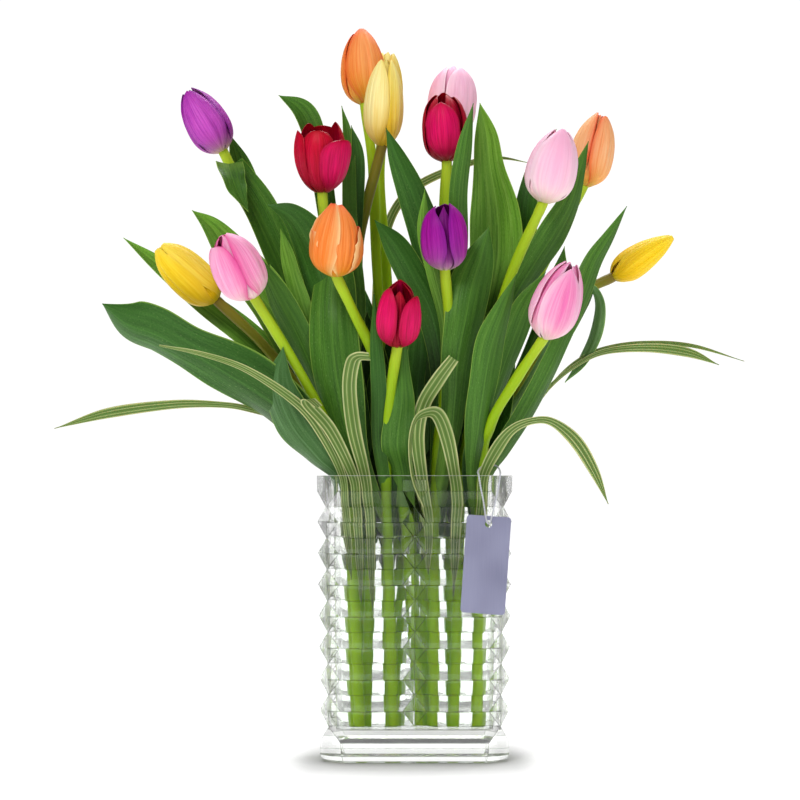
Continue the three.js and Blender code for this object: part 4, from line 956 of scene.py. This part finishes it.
def petal_mesh(tulip, rng, azimuth, inset, reach, half_angle, flare=0, taper=1, tone=0):
    """One petal, bent over the bloom's round side."""
    base, axis, right, back, height = bloom_frame(tulip)
    waves = tulip.waves
    size = tulip.radius / 20
    t = 1 - (1 - np.linspace(0, 1, PETAL_ROWS)) ** PETAL_EASE
    t, s = np.meshgrid(t, np.linspace(-1, 1, PETAL_COLS), indexing="ij")
    off = np.abs(s)
    start = np.minimum(1, 2 * t)
    middle = np.sin(math.pi * np.clip(t * 1.05, 0, 1))
    phase = rng.uniform(0, PHASE_RANGE)
    groove = RIDGE_HEIGHT * np.exp(-(((off - RIDGE_PLACE) / RIDGE_WIDTH) ** 2))
    groove = groove - GROOVE_DEPTH * np.exp(-((s / GROOVE_WIDTH) ** 2))
    ribs = RIB_HEIGHT * np.sin(s * 10 + phase) + FINE_RIB_HEIGHT * np.sin(s * 24 + 3 * phase)
    ribs = ribs * (1 - s ** 2)
    wave = waves * off ** 5 * (np.sin(11 * t + phase) + 0.5 * np.sin(23 * t + 2 * phase)) * start
    curl = -CURL * off ** 6 + rng.uniform(-CURL, CURL) * t ** 5
    dent = rng.uniform(-DENT, DENT) * np.sin(5 * t + phase) * (1 - s ** 2)
    skew = SKEW * s * np.sin(math.pi * t)
    relief = skew + (groove + ribs + dent) * middle + wave + curl
    radius = tulip.radius * eased(t * reach, BLOOM_OUTLINES[tulip.outline])
    radius = radius + tulip.radius * flare * t ** 3
    radius = radius + size * (relief - inset * np.minimum(1, 5 * t))
    width = half_angle * eased(t, PETAL_WIDTH) ** (1 + (taper - 1) * 2 * t)
    angle = np.radians(azimuth + s * width + tulip.twist * (t - 0.5))
    side_wave = 0.8 * waves * np.sin(9 * t + 1.7 * phase) * s ** 3 * start * middle
    lift = GAP + t * reach * (height - GAP) + size * side_wave
    grid = (base + axis * lift[..., None] + right * (radius * np.sin(angle))[..., None]
            - back * (radius * np.cos(angle))[..., None])
    thick = PETAL_EDGE + (PETAL_THICK - PETAL_EDGE) * (1 - off ** 3) * (1 - 0.5 * t)
    points, faces, uv = sheet_mesh(grid, thick)
    margin = 0.01
    uv[:, 0] = tone + margin + (1 - 2 * margin) * uv[:, 0]
    return points, faces, uv


def add_bloom(tulip):
    rng = random.Random(tulip.name)
    shape = joined([petal_mesh(tulip, rng, *petal) for petal in tulip.set])
    node = tulip.name + "_bloom"
    mesh_piece(node + "_petals", node, PETALS[tulip.petals], shape, sharp=70)


# Stalks, leaves and striped grass

def stem_points(tulip):
    return [(*tulip.foot, FLOOR + GAP)] + [place(spot) for spot in tulip.stem]


def stem_at(tulip, z):
    points = stem_points(tulip)
    shares = np.linspace(0, 1, 400)
    heights = along(points, shares)[:, 2]
    return along(points, np.interp(z, heights, shares))[0]


def add_stalk(tulip):
    """A stalk with a round cap, which holds the bloom."""
    axis = bloom_frame(tulip)[1]
    shares = np.linspace(0, 1, STALK_ROWS)
    centres, sides, normals = frames_along(stem_points(tulip), shares, (0, -1, 0), axis)
    phase = random.Random(tulip.name + "stalk").uniform(0, 6)
    wave = STALK_WAVE * np.sin(shares * STALK_WAVE_RATE + phase)
    radii = STEM_RADIUS * (1 + wave + STALK_THINNING * (0.5 - shares))
    radii[-3:] = STEM_RADIUS
    cap_rises = [0.6, 1.6, 2.4, 2.8]
    cap_radii = [3.6, 3.2, 2.2, 0.8]
    centres = np.vstack([centres] + [centres[-1] + axis * rise for rise in cap_rises])
    sides = np.vstack([sides] + [sides[-1]] * len(cap_rises))
    normals = np.vstack([normals] + [normals[-1]] * len(cap_rises))
    shape = tube_mesh(centres, sides, normals, np.concatenate([radii, cap_radii]), STALK_SIDES)
    mesh_piece(tulip.name + "_stalk", tulip.name + "_stem", STALKS[tulip.stalk], shape)


def add_leaf(tulip, points, half, tone, label, clasp=0.9):
    """A leaf along points with half widths, hollow towards its face; clasp closes it round the stem."""
    points = np.array(points, float)
    middle = points[len(points) // 2]
    turn = min(max(middle[0] / FACE_REACH, -0.5), 0.5)
    face = unit(np.array([turn, -1 if middle[1] < 0 else 1, 0], float))
    shares = 1 - (1 - np.linspace(0, 1, LEAF_ROWS)) ** TIP_EASE
    rng = random.Random(f"{tulip.name} leaf {label}")
    s = np.linspace(-1, 1, LEAF_COLS)
    t = shares[:, None]
    cup = CUP + clasp * np.exp(-t / CLASP_REACH)
    waves = rng.uniform(1.6, 2.8)
    edge_wave = sum(
        np.where(side * s > 0, np.abs(s) ** 2.5, 0) * np.sin(2 * math.pi * (waves * t + rng.random()))
        for side in (-1, 1)
    )
    bend = 0.45 * s ** 2 + 0.55 * (np.sqrt(s ** 2 + 0.006) - 0.077)
    rise = -cup * bend + EDGE_WAVE * edge_wave * np.sin(math.pi * t)
    width = along(np.array(half, float)[:, None], shares)[:, 0]
    thick = LEAF_EDGE + (LEAF_THICK - LEAF_EDGE) * (1 - s ** 2)
    shape = blade_mesh(frames_along(points, shares, face), width, s, rise, thick)
    name = f"{tulip.name}_leaf_{label}"
    mesh_piece(name, tulip.name + "_stem", LEAVES[tone], shape, sharp=70)


def add_mouth_leaf(tulip, start, lean, wide):
    path = [stem_at(tulip, start)]
    for step, rise in enumerate((18, 42, 70, 100), 1):
        x, y, z = stem_at(tulip, start + rise)
        path.append([x + lean * step / 3, y + 4.5, z])
    add_leaf(tulip, path, [STEM_RADIUS, 0.7 * wide, wide, 0.9 * wide, 0], "deep", "mouth")


def add_heart_leaf(tulip, start, tip, wide, tone):
    foot = stem_at(tulip, start + 30)
    way = np.array(tip, float) - foot
    path = [stem_at(tulip, start), foot, foot + way * (0.32, 0.38, 0.36), foot + way * (0.66, 0.7, 0.7), tip]
    add_leaf(tulip, path, [STEM_RADIUS, 0.55 * wide, wide, 0.85 * wide, 0], tone, "heart")


def add_leaves(tulip):
    for number, (tone, start, spots, *folded) in enumerate(tulip.leaves, 1):
        path = [stem_at(tulip, start)] + [place(spot) for spot in spots]
        add_leaf(tulip, path, [STEM_RADIUS] + [spot[3] for spot in spots], tone, number)
        for tip in folded:
            path = [place(spot) for spot in tip]
            add_leaf(tulip, path, [spot[3] for spot in tip], tone, f"{number}_fold", clasp=0)
    if tulip.mouth:
        add_mouth_leaf(tulip, *tulip.mouth)
    if tulip.heart:
        add_heart_leaf(tulip, *tulip.heart)


def add_grass(depth, spots, number, material):
    """A grass blade through its spots, which starts deeper in the water than the first of them."""
    x, y, z, first = spots[0]
    path = [(x * 0.94, y + 1.5, z - depth), (x * 0.97, y + 0.6, z - depth / 2)]
    path += [spot[:3] for spot in spots]
    half = [TIP_HALF, first * 0.8] + [spot[3] for spot in spots]
    shares = np.linspace(0, 1, GRASS_ROWS)
    width = along(np.array(half, float)[:, None], shares)[:, 0]
    s = np.linspace(-1, 1, GRASS_COLS)
    fold = 0.06 - 0.12 * np.abs(s)
    thick = GRASS_THICK * (1 - 0.5 * np.abs(s))
    shape = blade_mesh(frames_along(path, shares, (0, -1, 0)), width, s, fold, thick)
    mesh_piece(f"grass_blade_{number}", f"grass_{number}", material, shape, sharp=70)


# Vase and water

def shrunk(z, half_width, half_depth):
    """Half the width and depth at a height of the tapered vase."""
    scale = TAPER + (1 - TAPER) * (z / VASE_HEIGHT)
    return half_width * scale, half_depth * scale


def vase_ring(z, relief, notch, shrink=0.0, hollow=0.0, swell=0.0):
    """One level of the vase's outside. Hollow and swell curve the two halves of its broad faces."""
    w, d = shrunk(z, HALF_WIDTH, HALF_DEPTH)
    w, d = w - shrink, d - shrink
    hip = HIP * relief / RELIEF
    middle, reach = w / 2, w / 2 - hip
    curved = []
    for k in range(PANE_STEPS + 1):
        u = 2 * k / PANE_STEPS - 1
        curved.append((middle + reach * u, relief - swell * u ** 2 - hollow * (1 - u ** 2)))
    front = [(-w, 0)] + [(-x, out) for x, out in curved[::-1]] + [(0, notch)] + curved
    flank = [(-d, 0), (-d + hip, relief), (d - hip, relief)]
    ring = [(x, -d - out, z) for x, out in front] + [(w + out, y, z) for y, out in flank]
    return ring + [(-x, d + out, z) for x, out in front] + [(-w - out, -y, z) for y, out in flank]


def cavity_ring(z, grow=0.0):
    w, d = shrunk(z, HALF_WIDTH - WALL, HALF_DEPTH - WALL)
    return [(x, y, z) for x, y in rounded(w + grow, d + grow, INNER_CORNER, CORNER_STEPS, -90)]


@contextmanager
def editing(mesh):
    build = bmesh.new()
    build.from_mesh(mesh)
    yield build
    build.to_mesh(mesh)
    build.free()


def solid(name, rings):
    """An object through rings, without doubled points."""
    mesh = new_mesh(name, *loft(rings))
    with editing(mesh) as build:
        bmesh.ops.remove_doubles(build, verts=build.verts, dist=WELD)
        bmesh.ops.dissolve_degenerate(build, edges=build.edges, dist=WELD)
    return linked(name, mesh)


def add_modifier(thing, kind, **values):
    modifier = thing.modifiers.new(kind.lower(), kind)
    for key, value in values.items():
        setattr(modifier, key, value)


def prism_rings():
    """The levels of the prism rows, each with a swelling slope below its ridge and a hollow one above."""
    rings = []
    for row in range(PRISM_ROWS):
        valley = FIRST_VALLEY + row * PITCH
        rings += [
            vase_ring(valley + STEP, 2 * STEP * SLOPE, 0, swell=SWELL),
            vase_ring(valley + PITCH / 2 - STEP, RELIEF - STEP * SLOPE, 0, swell=SWELL),
            vase_ring(valley + PITCH / 2, RELIEF, 0, hollow=HOLLOW),
            vase_ring(valley + PITCH - STEP, STEP * SLOPE, 0, hollow=HOLLOW),
        ]
    return rings


def add_vase():
    foot = [
        vase_ring(0, RELIEF, RELIEF, FOOT_ROUND),
        vase_ring(FOOT_ROUND * 0.3, RELIEF, RELIEF, FOOT_ROUND * 0.3),
        vase_ring(FOOT_ROUND, RELIEF, RELIEF),
        vase_ring(FOOT_BAND, RELIEF, RELIEF),
        vase_ring(FIRST_VALLEY, 0, 0),
    ]
    rim = [
        vase_ring(RIM_BAND, RELIEF, 0),
        vase_ring(VASE_HEIGHT - RIM_FLAT, RELIEF, RELIEF),
        vase_ring(VASE_HEIGHT, RELIEF, RELIEF),
    ]
    vase = solid("vase_glass", foot + prism_rings() + rim)
    inside = solid("inside", [cavity_ring(FLOOR), cavity_ring(VASE_HEIGHT + WALL)])
    add_modifier(vase, "BOOLEAN", operation="DIFFERENCE", solver="EXACT", object=inside)
    apply_modifiers(vase)
    bpy.data.objects.remove(inside)
    with editing(vase.data) as build:
        bmesh.ops.dissolve_limit(build, angle_limit=math.radians(FLAT_ANGLE), verts=build.verts,
                                 edges=build.edges)
    add_modifier(vase, "BEVEL", width=GLASS_EDGE * MM, segments=2, limit_method="ANGLE",
                 angle_limit=math.radians(EDGE_ANGLE), material=1)
    for material in (glass_material(), glass_edge_material(), glass_rim_material()):
        vase.data.materials.append(material)
    apply_modifiers(vase)
    for face in vase.data.polygons:
        if face.material_index == 1 and face.center.z > (VASE_HEIGHT - 1.025 * GLASS_EDGE) * MM:
            face.material_index = 2
    smooth(vase.data, sharp=30)
    add_modifier(vase, "WEIGHTED_NORMAL", weight=100, keep_sharp=True)
    apply_modifiers(vase)
    dress(vase, "vase")


def add_water():
    """Water that reaches a little into the glass and climbs it at its edge."""
    top = WATER_LEVEL + MENISCUS
    rings = [cavity_ring(FLOOR - WATER_OVERLAP, WATER_OVERLAP), cavity_ring(top, WATER_OVERLAP)]
    for inset, drop in ((0.5, 0.5), (1.2, 0.9), (2.4, 1.2)):
        rings.append(cavity_ring(top - drop, WATER_OVERLAP - inset))
    mesh_piece("vase_water", "water", water_material(), loft(rings), sharp=40)


# Tag and string

def add_tag():
    """A blank card with rounded corners and a hole, a little turned."""
    w, h = TAG_WIDTH / 2, TAG_HEIGHT / 2
    outline = rounded(w, h, TAG_CORNER, TAG_CORNER_STEPS, 0)
    count = len(outline)
    hole = []
    for k in range(count):
        angle = 2 * math.pi * (k + 0.5) / count
        hole.append((TAG_HOLE * math.cos(angle), h - TAG_HOLE_DROP + TAG_HOLE * math.sin(angle)))
    tilt = math.radians(TAG_TILT)
    points = []
    for y in (0, -TAG_THICK):
        for x, z in outline + hole:
            points.append((TAG_PLACE[0] + x * math.cos(tilt) + z * math.sin(tilt), TAG_PLACE[1] + y,
                           TAG_PLACE[2] - x * math.sin(tilt) + z * math.cos(tilt)))
    front = 2 * count
    faces = quad_strip(0, count, count) + quad_strip(front + count, front, count)
    faces += quad_strip(front, 0, count) + quad_strip(count, front + count, count)
    tag = mesh_piece("blank_tag", "hang_tag", tag_material(), (points, faces))
    add_modifier(tag, "BEVEL", width=TAG_EDGE * MM, segments=3, angle_limit=math.radians(50))
    apply_modifiers(tag)


def add_string():
    """Two thin plies twisted round each other along the string's route."""
    centres, sides, normals = frames_along(STRING_PATH, np.linspace(0, 1, STRING_ROWS), (1, 0, 0))
    run = np.concatenate([[0], np.cumsum(np.linalg.norm(np.diff(centres, axis=0), axis=1))])
    ply = STRING_DIAMETER * PLY_SHARE
    parts = []
    for k in range(2):
        angle = 2 * math.pi * run / PLY_PITCH + math.pi * k
        line = centres + ply * (np.cos(angle)[:, None] * sides + np.sin(angle)[:, None] * normals)
        tangents = unit(np.gradient(line, axis=0))
        side = unit(np.cross(tangents, normals))
        radii = np.full(len(line), ply * PLY_SWELL)
        parts.append(tube_mesh(line, side, np.cross(side, tangents), radii, PLY_SIDES))
    shape = joined(parts)[:2]
    string = mesh_piece("thread_loop", "tag_string", string_material(), shape, sharp=80)


# Camera, floor, light and world

def add_camera():
    data = bpy.data.cameras.new("camera")
    data.lens = CAMERA_LENS
    data.sensor_width = SENSOR
    data.clip_end = FAR_CLIP
    camera = linked("camera", data)
    camera.location = Vector(CAMERA_PLACE) * MM
    camera.rotation_euler = (math.radians(90 + CAMERA_PITCH), 0, 0)
    bpy.context.scene.camera = camera


def add_floor():
    """White all over, with a soft grey shade close round the foot of the vase."""
    reach = FLOOR_REACH
    corners = [(-reach, -reach, 0), (reach, -reach, 0), (reach, reach, 0), (-reach, reach, 0)]
    floor = linked("floor", new_mesh("floor", corners, [(0, 1, 2, 3)]))
    n = Material("pale_floor")
    n.paint(n.mix(n.noise(n.place(), scale=3, detail=2), 0.5, 0.52))
    shade = 1.0
    for distance, power in ((SHADE_REACH, 1.2), (TOUCH_REACH, 1.5)):
        near = n.add("ShaderNodeAmbientOcclusion", samples=8)
        near.inputs["Distance"].default_value = distance
        shade = Value(n, near.outputs["AO"]) ** power * shade
    x, y, _ = n.parts(n.place())
    side, front = abs(x), abs(y)
    beside = (side - FOOT_SIDE).at_least(0.0) * SIDE_FALL
    ahead = (front - FOOT_FRONT).at_least(0.0) * FRONT_FALL
    fall = n.math("EXPONENT", (beside ** 2.0 + ahead ** 2.0) * -1.0)
    under = n.math("LESS_THAN", side, UNDER_SIDE) * n.math("LESS_THAN", front, UNDER_FRONT)
    shade = (shade * (1.0 - fall * FLOOR_SHADE)).at_least(under)
    far = n.add("ShaderNodeVectorMath", operation="LENGTH")
    n.feed(far.inputs[0], n.place())
    glow = n.spread(Value(n, far.outputs["Value"]), GLOW_START, GLOW_END, NEAR_GLOW, 1.0, "SMOOTHSTEP")
    n.set(Roughness=0.9, Specular_IOR_Level=0.1, Emission_Color=(1, 1, 1, 1), Emission_Strength=shade * glow)
    floor.data.materials.append(n.material)


def add_light(name, place_m, aim_m, size, power):
    data = bpy.data.lights.new(name, "AREA")
    data.shape = "RECTANGLE"
    data.size, data.size_y = size
    data.energy = power
    light = linked(name, data)
    light.location = place_m
    light.rotation_euler = (Vector(aim_m) - Vector(place_m)).to_track_quat("-Z", "Y").to_euler()


def add_world():
    """White surroundings: white as seen straight, bright with dark flanks through glass, dim as light."""
    world = bpy.data.worlds.new("world")
    bpy.context.scene.world = world
    world.use_nodes = True
    world.node_tree.nodes.clear()
    n = Nodes(world.node_tree)
    ray = n.add("ShaderNodeLightPath").outputs
    x, y, z = n.parts(Value(n, n.add("ShaderNodeTexCoord").outputs["Generated"]))

    def shine(colour, strength):
        node = n.add("ShaderNodeBackground")
        n.feed(node.inputs[0], colour)
        n.feed(node.inputs[1], strength)
        return Value(n, node.outputs[0])

    def either(share, a, b):
        node = n.add("ShaderNodeMixShader")
        for slot, value in enumerate((Value(n, ray[share]), a, b)):
            n.feed(node.inputs[slot], value)
        return Value(n, node.outputs[0])

    # Dark cards far out at both sides and behind the camera draw the outlines of the glass.
    beside = n.spread(abs(x), low=0.7, high=0.86, bottom=1.0, top=0.03, kind="SMOOTHSTEP")
    cards = beside * n.spread(y, low=-0.75, high=-0.45, bottom=0.08, top=1.0)
    bands = [(0, 1), (0.36, 1), (0.42, 0.1), (0.5, 1), (0.72, 1), (0.8, 0.2), (0.9, 1)]
    warm = [(0, (0.846, 0.9, 0.63)), (0.5, (0.846, 0.9, 0.63)), (1, (0.94, 1.0, 0.7))]
    dim = [(0, 0.16), (0.5, 0.22), (0.8, 0.6), (1, 1)]
    glass = shine(n.ramp(z, bands, smooth=False), cards)
    glass = either("Diffuse Depth", glass, shine(n.ramp(z, warm, smooth=False), 0.95))
    lit = either("Is Transmission Ray", shine(n.ramp(z, dim, smooth=False), 0.55), glass)
    seen = either("Is Camera Ray", lit, shine((1, 1, 1, 1), 1.05))
    n.feed(n.add("ShaderNodeOutputWorld").inputs[0], seen)


add_camera()
add_tag()
add_string()
add_floor()
add_world()
add_light("key", (-0.7, -1.4, 1.4), aim_m=(0, 0, 0.3), size=(0.6, 0.6), power=19)
add_light("fill", (1.3, -1.2, 0.6), aim_m=(0, 0, 0.25), size=(0.8, 0.8), power=4)
add_light("back", (0.1, 0.7, 1.5), aim_m=(0, 0, 0.1), size=(1.2, 0.6), power=20)
bpy.context.scene.view_settings.view_transform = "Standard"

add_vase()
add_water()
striped = grass_material()
for number, (depth, spots) in enumerate(GRASS, 1):
    add_grass(depth, spots, number, striped)
for tulip in TULIPS:
    add_bloom(tulip)
    add_stalk(tulip)
    add_leaves(tulip)
